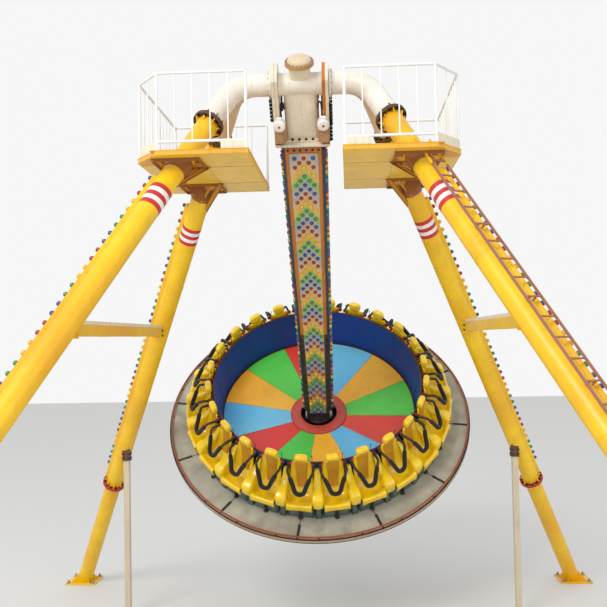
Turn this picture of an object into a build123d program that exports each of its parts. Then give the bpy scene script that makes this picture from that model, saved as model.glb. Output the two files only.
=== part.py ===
"""Pendulum ride: four-legged portal, swinging arm and a spinning ring of outward-facing seats.

Millimetres. The origin lies on the ground below the swing axis. X runs along the swing axis,
Y along the swing, Z up. The arm is drawn at the angle where its drive brakes hold it.
"""
from build123d import *
from math import acos, cos, degrees, hypot, pi, radians, sin, tan
import os

# Portal: legs, crown and cross beams
pivot_height = 8800.0
apex_x = 940.0              # where the axes of a front and a rear leg meet, level with the pivot
foot_x = 5206.0
foot_y = 6442.0
leg_diameter = 299.0
leg_joint_height = 2400.0   # flanged joint between the lower and the upper leg
crown_drop = 655.0          # from the pivot to the flanged joint between the upper leg and the crown
leg_flange_diameter = 440.0
leg_flange_thickness = 28.0
base_plate_size = 640.0
base_plate_thickness = 30.0
base_bolt_spacing = 520.0
base_bolt_hole = 36.0
prop_height = 3060.0        # top of the upright post that props each leg
prop_size = 110.0
prop_plate_size = 260.0
prop_plate_thickness = 20.0
beam_drop = 3470.0          # of the cross beams below the pivot
beam_depth = 190.0
beam_width = 150.0
crown_pipe_diameter = 325.0
crown_bend_radius = 420.0
crown_bend_flats = 4
crown_flange_diameter = 410.0
crown_flange_thickness = 32.0

# Swing hub
drum_diameter = 318.0
drum_half_length = 315.0
cheek_thickness = 88.0
cheek_top_radius = 300.0
cheek_half_depth = 250.0
axle_diameter = 200.0
axle_clearance = 0.4
running_gap = 6.0
neck_diameter = 470.0
neck_top = 300.0            # above the pivot
neck_bottom = 930.0         # below the pivot
head_plate_thickness = 45.0
head_plate_depth = 560.0
cap_flange_diameter = 520.0
cap_flange_thickness = 34.0
cap_rise = 90.0
motor_diameter = 178.0
motor_length = 190.0
motor_drop = 590.0
motor_offset = 318.0
gearbox_width = 150.0
gearbox_height = 260.0
gearbox_front = 120.0       # how far the gearboxes reach in front of the cheeks

# Arm
arm_top_width = 540.0
arm_top_depth = 440.0
arm_foot_width = 410.0
arm_foot_depth = 350.0
arm_end = 6960.0            # below the pivot
arm_edge_width = 62.0
arm_edge_proud = 10.0
arm_flange_thickness = 36.0

# Gondola, as distances below the pivot and radii about the arm's axis
seat_count = 24
sector_count = 12
deck_level = 6980.0
deck_thickness = 30.0
rim_radius = 2905.0
rim_top_level = 6962.0
rim_bottom_level = 7053.0
rim_band_thickness = 28.0
rail_level = 6920.0
rail_radius = 2863.0
rail_height = 36.0
rail_width = 30.0
rail_post_size = 18.0
hub_ring_radius = 544.0
hub_hole_radius = 343.0
hub_level = 6955.0
floor_edge_level = 6825.0
floor_thickness = 24.0
wall_radius = 1885.0
wall_thickness = 22.0
wall_top_level = 5940.0
spindle_diameter = 520.0
spindle_end = 7240.0
bearing_diameter = 720.0
bearing_height = 130.0
frame_hub_radius = 560.0
frame_hub_bottom = 7330.0
spoke_width = 90.0
spoke_root_depth = 260.0
spoke_tip_depth = 50.0
joint_gap = 8.0
seam_gap = 0.3              # between pieces that rest on each other

# Seats
pan_level = 6535.0
pan_back_radius = 2190.0
pan_front_radius = pan_back_radius + 330.0
pan_thickness = 60.0
pan_rear_drop = 35.0
back_top_radius = 2035.0
back_thickness = 55.0
back_width = 400.0
back_top_width = 330.0
back_gap = 4.0              # between the back shell and the pan's rear edge
headrest_level = 5872.0
headrest_radius = 2045.0
headrest_width = 235.0
headrest_height = 175.0
headrest_depth = 120.0
bolster_top_level = 6150.0
bolster_top_radius = 2010.0
bolster_knob_level = 6425.0
bolster_knob_radius = 2440.0
bolster_width = 150.0
knob_diameter = 170.0
yoke_axis_level = 6030.0
yoke_axis_radius = 2030.0
yoke_bar_size = 50.0
yoke_side_gap = 2.0         # between the yoke's side bars and the brackets
yoke_shoulder_reach = 190.0  # from the pivot to where the side bars turn down
knuckle_reach = 38.0        # of the side bars behind the pivot
yoke_foot_level = 6365.0
yoke_foot_radius = 2395.0
yoke_foot_half_width = 55.0
bracket_thickness = 18.0
bracket_size = 80.0
bracket_drop_below = 10.0   # of the bracket's middle below the pivot
shaft_diameter = 28.0
shaft_clearance = 0.6
shaft_spare = 12.0          # of the stub shafts beyond the knuckles
base_back_radius = pan_back_radius + 15.0
base_front_radius = base_back_radius + 235.0
base_half_width = 225.0
bolster_foot_width = 90.0
bolster_low_level = 6500.0

# Platforms, railings and ladder
platform_drop = 1219.0       # of the platforms' top below the pivot
platform_thickness = 60.0
platform_inner_x = 600.0
platform_outer_x = 2125.0
platform_half_depth = 1470.0
platform_chamfer_x = 345.0
platform_chamfer_y = 490.0
leg_hole_inner = 265.0       # from the leg's axis towards the swing axis's middle
leg_hole_outer = 345.0
leg_hole_outward = 385.0     # from the leg's axis towards the end of the platform
leg_hole_inward = 270.0
railing_height = 1013.0
railing_tube = 38.0
railing_bar = 18.0
railing_bar_pitch = 240.0
railing_foot_gap = 110.0
bracket_drop = 350.0
outer_bracket_drop = 240.0
bracket_offset = 90.0        # of the brackets from the leg's axis towards the middle
ladder_half_width = 120.0
ladder_standoff = 215.0     # from the leg's axis
ladder_stringer = 40.0
ladder_rung_diameter = 24.0
ladder_rung_pitch = 300.0
ladder_foot_height = 2700.0
ladder_stem_offset = 45.0
lamp_rail_width = 90.0
lamp_rail_height = 60.0
lamp_rail_rise = 0.45       # upward share of the outward direction in which the lamp rails stand off

# Positions at rest
swing_at_rest = 42.8
spin_at_rest = -6.7

leg_top_height = pivot_height - crown_drop
beam_height = pivot_height - beam_drop
platform_level = pivot_height - platform_drop
leg_radius = leg_diameter / 2
pipe_sides = 16             # flats round a pipe or a disc
ring_sides = 36             # flats round the gondola
sides = {"left": -1, "right": 1}
ends = {"front": -1, "rear": 1}

swing_frame = Pos(0, 0, pivot_height) * Rot(swing_at_rest, 0, 0)
gondola_frame = swing_frame * Rot(0, 0, spin_at_rest)


def unit(v):
    return Vector(*v).normalized()


def leg_direction(side, end):
    """Down the leg, from the apex to the foot."""
    return unit((side * (foot_x - apex_x), end * foot_y, -pivot_height))


def leg_point(side, end, height):
    """The point on the leg's axis at a height above the ground."""
    share = (pivot_height - height) / pivot_height
    return Vector(side * (apex_x + (foot_x - apex_x) * share), end * foot_y * share, height)


def square_to(direction, towards):
    """The part of a direction that is square to another one."""
    towards = Vector(*towards)
    return (towards - direction * towards.dot(direction)).normalized()


def leg_plane(side, end, height, towards=(0, 0, 1)):
    """A section of the leg: Z runs down the leg and X points as near as possible to towards."""
    direction = leg_direction(side, end)
    return Plane(origin=leg_point(side, end, height), x_dir=square_to(direction, towards), z_dir=direction)


def leg_length(high, low):
    """Length along a leg between two heights."""
    drop = Vector(foot_x - apex_x, foot_y, pivot_height)
    return (high - low) * drop.length / pivot_height


def prism(radius, length, flats=pipe_sides):
    """A round bar up from the plane of X and Y, its surface laid out in flats."""
    return extrude(RegularPolygon(radius, flats), length, dir=(0, 0, 1))


def turned_disc(radius, bottom, top, inner=0.0, flats=2 * pipe_sides):
    """A disc or ring about Z between two heights; the hole's flats lie outside its radius."""
    disc = Pos(0, 0, bottom) * prism(radius, top - bottom, flats)
    if inner > 0:
        disc -= Pos(0, 0, bottom - 1) * prism(inner / cos(pi / flats), top - bottom + 2, flats)
    return disc


def along_x(radius, start, end):
    """A round bar along X."""
    low, high = min(start, end), max(start, end)
    return Pos(low, 0, 0) * Rot(0, 90, 0) * prism(radius, high - low)


def plate(points, plane, thickness):
    """A flat plate from the corners of its outline, half of its thickness each side of the plane."""
    return extrude(plane * Polygon(*points, align=None), thickness / 2, both=True)


def leg_cutter(side, end, height, clearance):
    """Clears the leg's tube, a clearance away from its flats, from a height down."""
    radius = leg_radius + clearance / cos(pi / pipe_sides)
    return leg_plane(side, end, height).location * prism(radius, leg_length(height, 0))


def skinned(rings):
    """A solid with flat faces between rings of corner points."""
    count = len(rings[0])
    faces = [Face(Wire.make_polygon(rings[0])), Face(Wire.make_polygon(rings[-1]))]
    for near, far in zip(rings, rings[1:]):
        for i in range(count):
            j = (i + 1) % count
            faces.append(Face(Wire.make_polygon([near[i], near[j], far[j], far[i]])))
    return Solid(Shell(faces))


def rounded_path(start, corner, end, radius, steps):
    """Points of a path of two straight runs with an arc between them."""
    back, ahead = (start - corner).normalized(), (end - corner).normalized()
    half = acos(back.dot(ahead)) / 2
    centre = corner + (back + ahead).normalized() * (radius / sin(half))
    first = corner + back * (radius / tan(half)) - centre
    square = back.cross(ahead).normalized().cross(first).normalized() * first.length
    if square.dot(ahead) < 0:
        square = -square
    sweep_angle = pi - 2 * half
    arc = [centre + first * cos(sweep_angle * i / steps) + square * sin(sweep_angle * i / steps)
           for i in range(steps + 1)]
    return [start] + arc + [end]


def bar_along(path, outline, towards):
    """A bar of one section along a path, mitred at its corners."""
    direction = (path[1] - path[0]).normalized()
    across = square_to(direction, towards)
    up = direction.cross(across)
    ring = [path[0] + across * x + up * y for x, y in outline]
    rings = [ring]
    for i in range(1, len(path)):
        direction = (path[i] - path[i - 1]).normalized()
        normal = direction
        if i + 1 < len(path):
            normal = (direction + (path[i + 1] - path[i]).normalized()).normalized()
        ring = [p + direction * ((path[i] - p).dot(normal) / direction.dot(normal)) for p in ring]
        rings.append(ring)
    return skinned(rings)


def circle_points(radius, count=pipe_sides):
    return [(radius * cos(2 * pi * i / count), radius * sin(2 * pi * i / count)) for i in range(count)]


def arc_points(radius, start, span, steps):
    """Points on an arc, its angles in degrees from the first axis."""
    return [(radius * cos(radians(start + span * i / steps)), radius * sin(radians(start + span * i / steps)))
            for i in range(steps + 1)]


# Portal

def make_leg(side, end):
    """Upper leg tube between its two flanges."""
    plane = leg_plane(side, end, leg_top_height)
    length = leg_length(leg_top_height, leg_joint_height)
    flange = prism(leg_flange_diameter / 2, leg_flange_thickness)
    tube = prism(leg_radius, length) + flange + Pos(0, 0, length - leg_flange_thickness) * flange
    return plane.location * tube


def make_foot(side, end):
    """Lower leg tube from its flange to the base plate on the ground."""
    plane = leg_plane(side, end, leg_joint_height)
    beyond = leg_length(leg_joint_height, 0) + leg_diameter
    tube = plane.location * (prism(leg_radius, beyond) + prism(leg_flange_diameter / 2, leg_flange_thickness))
    foot = Pos(side * foot_x, end * foot_y, 0)
    tube -= foot * Pos(0, 0, base_plate_thickness - beyond) * Box(4 * leg_diameter, 4 * leg_diameter, 2 * beyond)
    base = Box(base_plate_size, base_plate_size, base_plate_thickness)
    base -= [spot * Cylinder(base_bolt_hole / 2, 2 * base_plate_thickness)
             for spot in GridLocations(base_bolt_spacing, base_bolt_spacing, 2, 2)]
    return foot * Pos(0, 0, base_plate_thickness / 2) * base + tube


def make_prop(side, end):
    """Upright post under the leg, with a saddle plate against the tube and a plate on the ground."""
    axis_height = prop_height + leg_radius * 1.35
    centre = leg_point(side, end, axis_height)
    post = Pos(centre.X, centre.Y, prop_height / 2) * Box(prop_size, prop_size, prop_height)
    direction = leg_direction(side, end)
    cutter = leg_cutter(side, end, axis_height + 3 * leg_diameter, seam_gap)
    level = Vector(direction.X, direction.Y, 0).normalized()
    plane = Plane(origin=(centre.X, centre.Y, 0), x_dir=(level.X, level.Y, 0), z_dir=level.cross(Vector(0, 0, 1)))
    slope = -direction.Z / hypot(direction.X, direction.Y)
    reach = 260.0
    gusset = plate([(0, prop_height + 40), (0, prop_height - slope * reach - 120),
                    (reach, prop_height - slope * reach + 40)], plane, 16.0)
    post = post + Pos(centre.X, centre.Y, prop_height) * Box(prop_size, prop_size, 2 * leg_radius * 0.5) + gusset
    base = Pos(centre.X, centre.Y, prop_plate_thickness / 2) * Box(
        prop_plate_size, prop_plate_size, prop_plate_thickness)
    return post + base - cutter


def make_cross_beam(side):
    """Box beam between the front and the rear leg, notched round both tubes."""
    end_point = leg_point(side, 1, beam_height)
    beam = Pos(end_point.X, 0, beam_height) * Box(beam_width, 2 * end_point.Y, beam_depth)
    for end in ends.values():
        beam -= leg_cutter(side, end, beam_height + 3 * leg_diameter, seam_gap)
    return max(beam.solids(), key=lambda s: s.volume)


def make_crown(side):
    """Two bent pipes from the leg tops, joined into one level pipe that ends in the axle flange."""
    flange_x = drum_half_length + cheek_thickness + running_gap
    apex = Vector(side * apex_x, 0, pivot_height)
    stop = Vector(side * flange_x, 0, pivot_height)
    crown = None
    for end in ends.values():
        start = leg_point(side, end, leg_top_height)
        path = rounded_path(start, apex, stop, crown_bend_radius, crown_bend_flats)
        pipe = bar_along(path, circle_points(crown_pipe_diameter / 2), (0, end, 0))
        flange = leg_plane(side, end, leg_top_height).location * Pos(0, 0, -leg_flange_thickness) * prism(
            leg_flange_diameter / 2, leg_flange_thickness)
        crown = pipe + flange if crown is None else crown + pipe + flange
    centre = Pos(0, 0, pivot_height)
    crown += centre * along_x(crown_flange_diameter / 2, side * flange_x,
                              side * (flange_x + crown_flange_thickness))
    low, high = sorted((side * (drum_half_length - 100), side * flange_x))
    crown += centre * Pos((low + high) / 2, 0, 0) * Rot(0, 90, 0) * Cylinder(axle_diameter / 2, high - low)
    return crown


# Swing hub and arm, drawn hanging straight down from the origin

def make_hub():
    """Level drum and upright neck cast as a cross, with a head plate below."""
    hub = along_x(drum_diameter / 2, -drum_half_length, drum_half_length)
    hub += turned_disc(neck_diameter / 2, -neck_bottom, neck_top, flats=24)
    hub += turned_disc(cap_flange_diameter / 2, neck_top, neck_top + cap_flange_thickness, flats=24)
    hub += Pos(0, 0, -neck_bottom - head_plate_thickness / 2) * Box(
        2 * (drum_half_length + cheek_thickness), head_plate_depth, head_plate_thickness)
    bore = axle_diameter / 2 + axle_clearance
    return hub - Rot(0, 90, 0) * Cylinder(bore, 2 * drum_half_length + 2)


def make_hub_cap():
    """Domed cover on the neck's top flange."""
    base = neck_top + cap_flange_thickness
    radius = neck_diameter / 2 - 20
    rings = []
    for share in (0.0, 0.35, 0.65, 0.88):
        level = base + cap_rise * share
        rings.append([Vector(x, y, level) for x, y in circle_points(radius * (1 - share ** 2) ** 0.5, 24)])
    top = base + cap_rise
    rings.append([Vector(x, y, top) for x, y in circle_points(radius * 0.12, 24)])
    return skinned(rings)


def make_cheeks():
    """Side plates on the drum's ends, rounded over the axle and standing on the head plate."""
    cheeks = []
    shoulder = degrees(acos(cheek_half_depth / cheek_top_radius))
    outline = [(-cheek_half_depth, -neck_bottom), (cheek_half_depth, -neck_bottom)]
    outline += arc_points(cheek_top_radius, shoulder, 180 - 2 * shoulder, 8)
    for side in sides.values():
        near, far = sorted((side * drum_half_length, side * (drum_half_length + cheek_thickness)))
        cheek = extrude(Plane(origin=(near, 0, 0), x_dir=(0, 1, 0), z_dir=(1, 0, 0)) * Polygon(
            *outline, align=None), far - near)
        cheek -= Rot(0, 90, 0) * Cylinder(axle_diameter / 2 + axle_clearance, 4 * drum_half_length)
        cheeks.append(cheek)
    return Compound(cheeks)


def make_drive_motors():
    """Geared motors: gearboxes between the neck and the cheeks, motors in front of the cheeks."""
    motors = []
    front = -cheek_half_depth - gearbox_front
    for side in sides.values():
        x = side * (drum_half_length - gearbox_width / 2 - running_gap)
        gearbox = Pos(x, front / 2, -motor_drop - gearbox_height / 2) * Box(
            gearbox_width, -front, gearbox_height)
        motor = Pos(side * motor_offset, -cheek_half_depth - running_gap, -motor_drop) * Rot(90, 0, 0) * prism(
            motor_diameter / 2, motor_length)
        neck = turned_disc(neck_diameter / 2 + seam_gap, -2 * neck_bottom, neck_bottom, flats=24)
        motors.append((gearbox + motor) - neck)
    return Compound(motors)


def arm_section(depth, inset=0.0):
    """Width and depth of the arm at a distance below the pivot."""
    start = neck_bottom + head_plate_thickness + arm_flange_thickness
    share = (depth - start) / (arm_end - start)
    width = arm_top_width + (arm_foot_width - arm_top_width) * share
    thick = arm_top_depth + (arm_foot_depth - arm_top_depth) * share
    return Pos(0, 0, -depth) * Rectangle(width - 2 * inset, thick - 2 * inset)


def make_arm():
    """Tapered box arm, closed by a flange at the head plate and by the spindle at its foot."""
    start = neck_bottom + head_plate_thickness + arm_flange_thickness
    arm = loft([arm_section(arm_end), arm_section(start)])
    arm += Pos(0, 0, -start + arm_flange_thickness / 2) * Box(
        arm_top_width + 60, arm_top_depth + 60, arm_flange_thickness)
    return arm


def make_arm_edges():
    """Angle bars over the four corners of the arm, joined by a cross bar near each end."""
    start = neck_bottom + head_plate_thickness + arm_flange_thickness
    stop = deck_level - 120
    shell = loft([arm_section(stop, -arm_edge_proud), arm_section(start, -arm_edge_proud)])
    shell -= loft([arm_section(arm_end, -0.2), arm_section(start, -0.2)])
    keep = arm_edge_width
    wide = 4 * arm_top_width
    across = extrude(Pos(0, 0, -stop - 1) * Rectangle(arm_foot_width - 2 * keep, wide), stop - start + 2)
    deep = extrude(Pos(0, 0, -stop - 1) * Rectangle(wide, arm_foot_depth - 2 * keep), stop - start + 2)
    band = Pos(0, 0, -(start + stop) / 2) * Box(wide, wide, stop - start - 2 * keep)
    return shell - (across & band) - (deep & band)


def make_spindle():
    """Turned spindle at the arm's foot, held in the gondola's bearing."""
    return turned_disc(spindle_diameter / 2, -spindle_end, -arm_end, flats=24)


# Gondola, drawn about the same axis

def make_bearing():
    """Outer ring of the turntable bearing."""
    return turned_disc(bearing_diameter / 2, -spindle_end + 20, -spindle_end + 20 + bearing_height,
                       spindle_diameter / 2 + axle_clearance, flats=24)


def make_gondola_frame():
    """Hub drum, twelve tapered spokes that also carry the bowl's floor, and bars between them under the deck."""
    top = -(deck_level + deck_thickness)
    tip = (rim_radius - rim_band_thickness) * cos(pi / ring_sides) - seam_gap
    root = frame_hub_radius + seam_gap
    rib_start = hub_ring_radius + 30
    rib_end = (wall_radius - wall_thickness) * cos(pi / seat_count) - 3
    under_floor = floor_thickness + seam_gap
    outline = Polygon((root, top), (rib_start, top), (rib_start, floor_height(rib_start) - under_floor),
                      (rib_end, floor_height(rib_end) - under_floor), (rib_end, top), (tip, top),
                      (tip, top - spoke_tip_depth), (root, top - spoke_root_depth), align=None)
    spoke = extrude(Plane.XZ * outline, spoke_width / 2, both=True)
    step = 360 / sector_count
    pieces = [Rot(0, 0, step * (i + 0.5)) * spoke for i in range(sector_count)]
    half = radians(step / 2)
    for radius in (wall_radius + 40, tip * cos(half) - 40):
        length = 2 * (radius * tan(half) - (spoke_width / 2 + seam_gap) / cos(half)) - 20
        bar = Pos(radius, 0, top - spoke_tip_depth / 2 + 5) * Box(40, length, spoke_tip_depth - 10)
        pieces += [Rot(0, 0, step * i) * bar for i in range(sector_count)]
    hub = turned_disc(frame_hub_radius, -frame_hub_bottom, top,
                      bearing_diameter / 2 * cos(pi / 24) + seam_gap, flats=24)
    hub += turned_disc(frame_hub_radius, -frame_hub_bottom - 12, -frame_hub_bottom, flats=24)
    return Compound([hub] + pieces)


def floor_height(radius):
    """Level of the bowl's floor at a radius."""
    share = (radius - hub_ring_radius) / (wall_radius - hub_ring_radius)
    return -(hub_level + (floor_edge_level - hub_level) * share)


def make_floor_sector(index):
    """One painted sector of the bowl's conical floor."""
    step = 360 / sector_count
    seam = degrees(joint_gap / 2 / wall_radius)
    start, span = -90 + step * index + seam, step - 2 * seam
    outer = (wall_radius - wall_thickness) * cos(pi / seat_count) - seam_gap
    inner = hub_ring_radius + seam_gap
    rims = []
    for radius in (inner, outer):
        for drop in (0, floor_thickness):
            rims.append([Vector(x, y, floor_height(radius) - drop) for x, y in arc_points(radius, start, span, 2)])
    near_top, near_low, far_top, far_low = rims
    faces = []
    for a, b in ((near_top, far_top), (near_low, far_low), (near_top, near_low), (far_top, far_low)):
        faces += [Face(Wire.make_polygon([a[i], a[i + 1], b[i + 1], b[i]])) for i in range(2)]
    faces += [Face(Wire.make_polygon([near_top[i], far_top[i], far_low[i], near_low[i]])) for i in (0, -1)]
    return Solid(Shell(faces))


def make_hub_ring():
    """Raised ring round the hole that the arm passes through."""
    ring = turned_disc(hub_ring_radius, -hub_level - 25, -hub_level + 30, hub_hole_radius, flats=24)
    return ring + turned_disc(hub_hole_radius + 60, -(deck_level + deck_thickness), -hub_level - 25,
                              hub_hole_radius, flats=24)


def ring_segment(inner, outer, low, high, start, span, steps):
    """A curved panel laid out in flats between two radii and two heights."""
    outline = arc_points(outer, start, span, steps) + arc_points(inner, start, span, steps)[::-1]
    return Pos(0, 0, low) * extrude(Polygon(*outline, align=None), high - low, dir=(0, 0, 1))


def make_wall():
    """Inner wall of the bowl, in upright panels."""
    step = 360 / seat_count
    foot = -(deck_level + deck_thickness)
    return Compound([
        ring_segment(wall_radius - wall_thickness, wall_radius, foot, -wall_top_level, -90 + step * i + 0.05,
                     step - 0.1, 1) for i in range(seat_count)])


def make_deck():
    """Foot deck outside the seats, in panels with open joints."""
    step = 360 / sector_count
    gap = degrees(joint_gap / rim_radius)
    outer = rim_radius - rim_band_thickness - seam_gap
    inner = (wall_radius + seam_gap) / cos(pi / ring_sides)
    return Compound([
        ring_segment(inner, outer, -deck_level - deck_thickness, -deck_level, -90 + step * i + gap / 2,
                     step - gap, ring_sides // sector_count)
        for i in range(sector_count)])


def make_rim():
    """Upright band round the deck, in short flat lengths."""
    step = 360 / ring_sides
    return Compound([
        ring_segment(rim_radius - rim_band_thickness, rim_radius, -rim_bottom_level, -rim_top_level,
                     -90 + step * i + 0.02, step - 0.04, 1)
        for i in range(ring_sides)])


def make_rim_rail():
    """Thin rail along the rim in twelve lengths, each on two short posts that stand on the deck."""
    step = 360 / sector_count
    low = -rail_level - rail_height / 2
    rail = ring_segment(rail_radius - rail_width / 2, rail_radius + rail_width / 2, low, low + rail_height,
                        0.05, step - 0.1, ring_sides // sector_count)
    for i in range(2):
        post = Pos(rail_radius - 6, 0, (low - deck_level) / 2) * Box(
            rail_post_size, rail_post_size, low + deck_level)
        rail += Rot(0, 0, step * (i + 0.5) / 2) * post
    return Compound([Rot(0, 0, -90 + step * i) * rail for i in range(sector_count)])


def seat_frame(index):
    """Place of a seat: X points outward, Y along the ring, Z up."""
    return gondola_frame * Rot(0, 0, -90 + 360 / seat_count * index)


def back_top():
    """Distance of the back shell's top edge below the pivot."""
    return headrest_level + headrest_height / 2 + seam_gap


def back_half_width(level):
    """Half of the back shell's width at a level."""
    share = (level - back_top()) / (pan_level + pan_rear_drop - back_top())
    return (back_top_width + (back_width - back_top_width) * share) / 2


def make_seat_back():
    """Leaning back shell, narrower at the shoulders, on a rib that hangs it on the bowl's wall."""
    top = back_top()
    low = Plane(origin=(pan_back_radius - back_thickness / 2 - back_gap, 0, -pan_level - pan_rear_drop),
                z_dir=(0, 0, 1))
    high = Plane(origin=(back_top_radius - back_thickness / 2 - 10, 0, -top), z_dir=(0, 0, 1))
    back = loft([low * Rectangle(back_thickness, back_width), high * Rectangle(back_thickness, back_top_width)])
    wall = wall_radius + seam_gap
    rib_top, rib_low = -top - 120, -top - 420
    rib = plate([(wall, rib_top), (wall, rib_low), (pan_back_radius - back_thickness - 50, rib_low),
                 (back_top_radius - back_thickness + 10, rib_top)], Plane.XZ, 60.0)
    return back + rib


def pan_under(radius):
    """Height of the pan's underside at a radius."""
    share = (pan_front_radius - radius) / (pan_front_radius - pan_back_radius)
    return -pan_level - pan_thickness - pan_rear_drop * share


def make_seat_pan():
    """Pan that rises to its front edge."""
    profile = Polygon((pan_back_radius, -pan_level - pan_rear_drop), (pan_front_radius, -pan_level),
                      (pan_front_radius, pan_under(pan_front_radius)),
                      (pan_back_radius, pan_under(pan_back_radius)), align=None)
    return extrude(Plane.XZ * profile, back_width / 2 + 20, both=True)


def make_seat_base():
    """Box that carries the pan on the deck."""
    profile = Polygon((base_back_radius, -deck_level), (base_front_radius, -deck_level),
                      (base_front_radius, pan_under(base_front_radius) - seam_gap),
                      (base_back_radius, pan_under(base_back_radius) - seam_gap), align=None)
    return extrude(Plane.XZ * profile, base_half_width, both=True)


def make_headrest():
    """Upright pad block with cut corners."""
    w, h, cut = headrest_width / 2, headrest_height / 2, 45
    outline = Polygon((-w + cut, -h), (w - cut, -h), (w, -h + cut), (w, h - cut), (w - cut, h), (-w + cut, h),
                      (-w, h - cut), (-w, -h + cut), align=None)
    plane = Plane(origin=(headrest_radius - 15 - headrest_depth / 2, 0, -headrest_level), x_dir=(0, 1, 0),
                  z_dir=(1, 0, 0))
    return extrude(plane * outline, headrest_depth)


def make_bolster():
    """Side wing shared by two neighbours, from the shoulder down to the rounded knob at the knee."""
    knob = [(bolster_knob_radius + x, -bolster_knob_level - 20 + z)
            for x, z in arc_points(knob_diameter / 2, 80, -170, 4)]
    outline = [(bolster_top_radius - 55, -bolster_top_level), (bolster_top_radius + 55, -bolster_top_level)]
    outline += knob + [(base_back_radius + 30, -bolster_low_level), (base_back_radius - 60, -bolster_knob_level)]
    wing = plate(outline, Plane.XZ, bolster_width)
    foot = plate([(base_back_radius + 80, -bolster_low_level + 10), (base_back_radius + 80, -deck_level),
                  (base_front_radius, -deck_level), (base_front_radius, -bolster_low_level + 10)],
                 Plane.XZ, bolster_foot_width)
    return wing + foot


def bracket_inner():
    """From the seat's middle to the inner face of a bracket, seated on the back shell's edge."""
    return back_half_width(yoke_axis_level + bracket_drop_below + bracket_size / 2) + seam_gap


def yoke_half_width():
    """From the seat's middle to the middle of the yoke's side bar."""
    return bracket_inner() + bracket_thickness + yoke_side_gap + yoke_bar_size / 2


def make_yoke():
    """Shoulder yoke: one bent bar from pivot to pivot, down over the shoulders to a foot before the lap."""
    half_bar = yoke_bar_size / 2
    side_y = yoke_half_width()
    section = [(-half_bar, -half_bar), (half_bar, -half_bar), (half_bar, half_bar), (-half_bar, half_bar)]
    path = []
    for side in (-1, 1):
        start = Vector(yoke_axis_radius - knuckle_reach, side * side_y, -yoke_axis_level - 5)
        shoulder = Vector(yoke_axis_radius + yoke_shoulder_reach, side * side_y, -yoke_axis_level + 18)
        foot = Vector(yoke_foot_radius, side * yoke_foot_half_width, -yoke_foot_level)
        path += [start, shoulder, foot] if side < 0 else [foot, shoulder, start]
    yoke = bar_along(path, section, (0, 1, 0))
    bore = (shaft_diameter / 2 + shaft_clearance) / cos(pi / 6)
    for side in (-1, 1):
        yoke -= Pos(yoke_axis_radius, side * side_y, -yoke_axis_level) * Rot(90, 0, 0) * Pos(
            0, 0, -yoke_bar_size) * Rot(0, 0, 30) * prism(bore, 2 * yoke_bar_size, 6)
    return yoke


def make_seat_brackets():
    """Pivot brackets at both shoulders, each with the stub shaft that carries the yoke."""
    brackets = []
    middle = bracket_inner() + bracket_thickness / 2
    shaft_end = yoke_half_width() + yoke_bar_size / 2 + shaft_spare
    for side in (-1, 1):
        bracket = Pos(yoke_axis_radius - 20, side * middle, -yoke_axis_level - bracket_drop_below) * Box(
            bracket_size, bracket_thickness, bracket_size)
        shaft = Pos(yoke_axis_radius, side * middle, -yoke_axis_level) * Rot(-90 * side, 0, 0) * prism(
            shaft_diameter / 2, shaft_end - middle, 6)
        brackets.append(bracket + shaft)
    return Compound(brackets)


# Platforms, railings and ladder

def platform_outline(side):
    outer = platform_outer_x
    return Polygon((platform_inner_x * side, -platform_half_depth),
                   ((outer - platform_chamfer_x) * side, -platform_half_depth),
                   (outer * side, -platform_half_depth + platform_chamfer_y),
                   (outer * side, platform_half_depth),
                   (platform_inner_x * side, platform_half_depth), align=None)


def make_platform(side):
    """Service platform with a framed opening round each leg top."""
    slab = Pos(0, 0, platform_level - platform_thickness) * extrude(
        platform_outline(side), platform_thickness, dir=(0, 0, 1))
    for end in ends.values():
        leg = leg_point(side, end, platform_level)
        length = leg_hole_outward + leg_hole_inward
        middle = leg.Y + end * (leg_hole_outward - leg_hole_inward) / 2
        slab -= Pos(leg.X + side * (leg_hole_outer - leg_hole_inner) / 2, middle, platform_level) * Box(
            leg_hole_outer + leg_hole_inner, length, 4 * platform_thickness)
    return slab


def make_platform_brackets(side):
    """Plates from each leg to the underside of the platform, inside and outside the tube."""
    brackets = []
    under = platform_level - platform_thickness - seam_gap
    for end in ends.values():
        cutter = leg_cutter(side, end, platform_level + 2 * leg_diameter, seam_gap)
        top = leg_point(side, end, under)
        for out, drop, hole in ((1, outer_bracket_drop, leg_hole_outer), (-1, bracket_drop, leg_hole_inner)):
            low = leg_point(side, end, under - drop)
            reach = side * out * (hole + 60)
            plane = Plane(origin=(0, low.Y - end * bracket_offset, 0), x_dir=(1, 0, 0), z_dir=(0, -1, 0))
            points = [(top.X, under), (top.X + reach, under), (top.X + reach, under - 40), (low.X, under - drop)]
            gusset = plate(points, plane, 20.0) - cutter
            outer = [s for s in gusset.solids() if (s.center().X - low.X) * side * out > 0]
            brackets.append(max(outer, key=lambda s: s.volume))
    return Compound(brackets)


def rail_path(side):
    """Corner points of the railing along the platform's outer sides."""
    inset = railing_tube / 2 + 5
    return [Vector(side * (platform_inner_x + inset), -platform_half_depth + inset, 0),
            Vector(side * (platform_outer_x - platform_chamfer_x - inset / 2), -platform_half_depth + inset, 0),
            Vector(side * (platform_outer_x - inset), -platform_half_depth + platform_chamfer_y + inset / 2, 0),
            Vector(side * (platform_outer_x - inset), platform_half_depth - inset, 0),
            Vector(side * (platform_inner_x + inset), platform_half_depth - inset, 0)]


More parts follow.
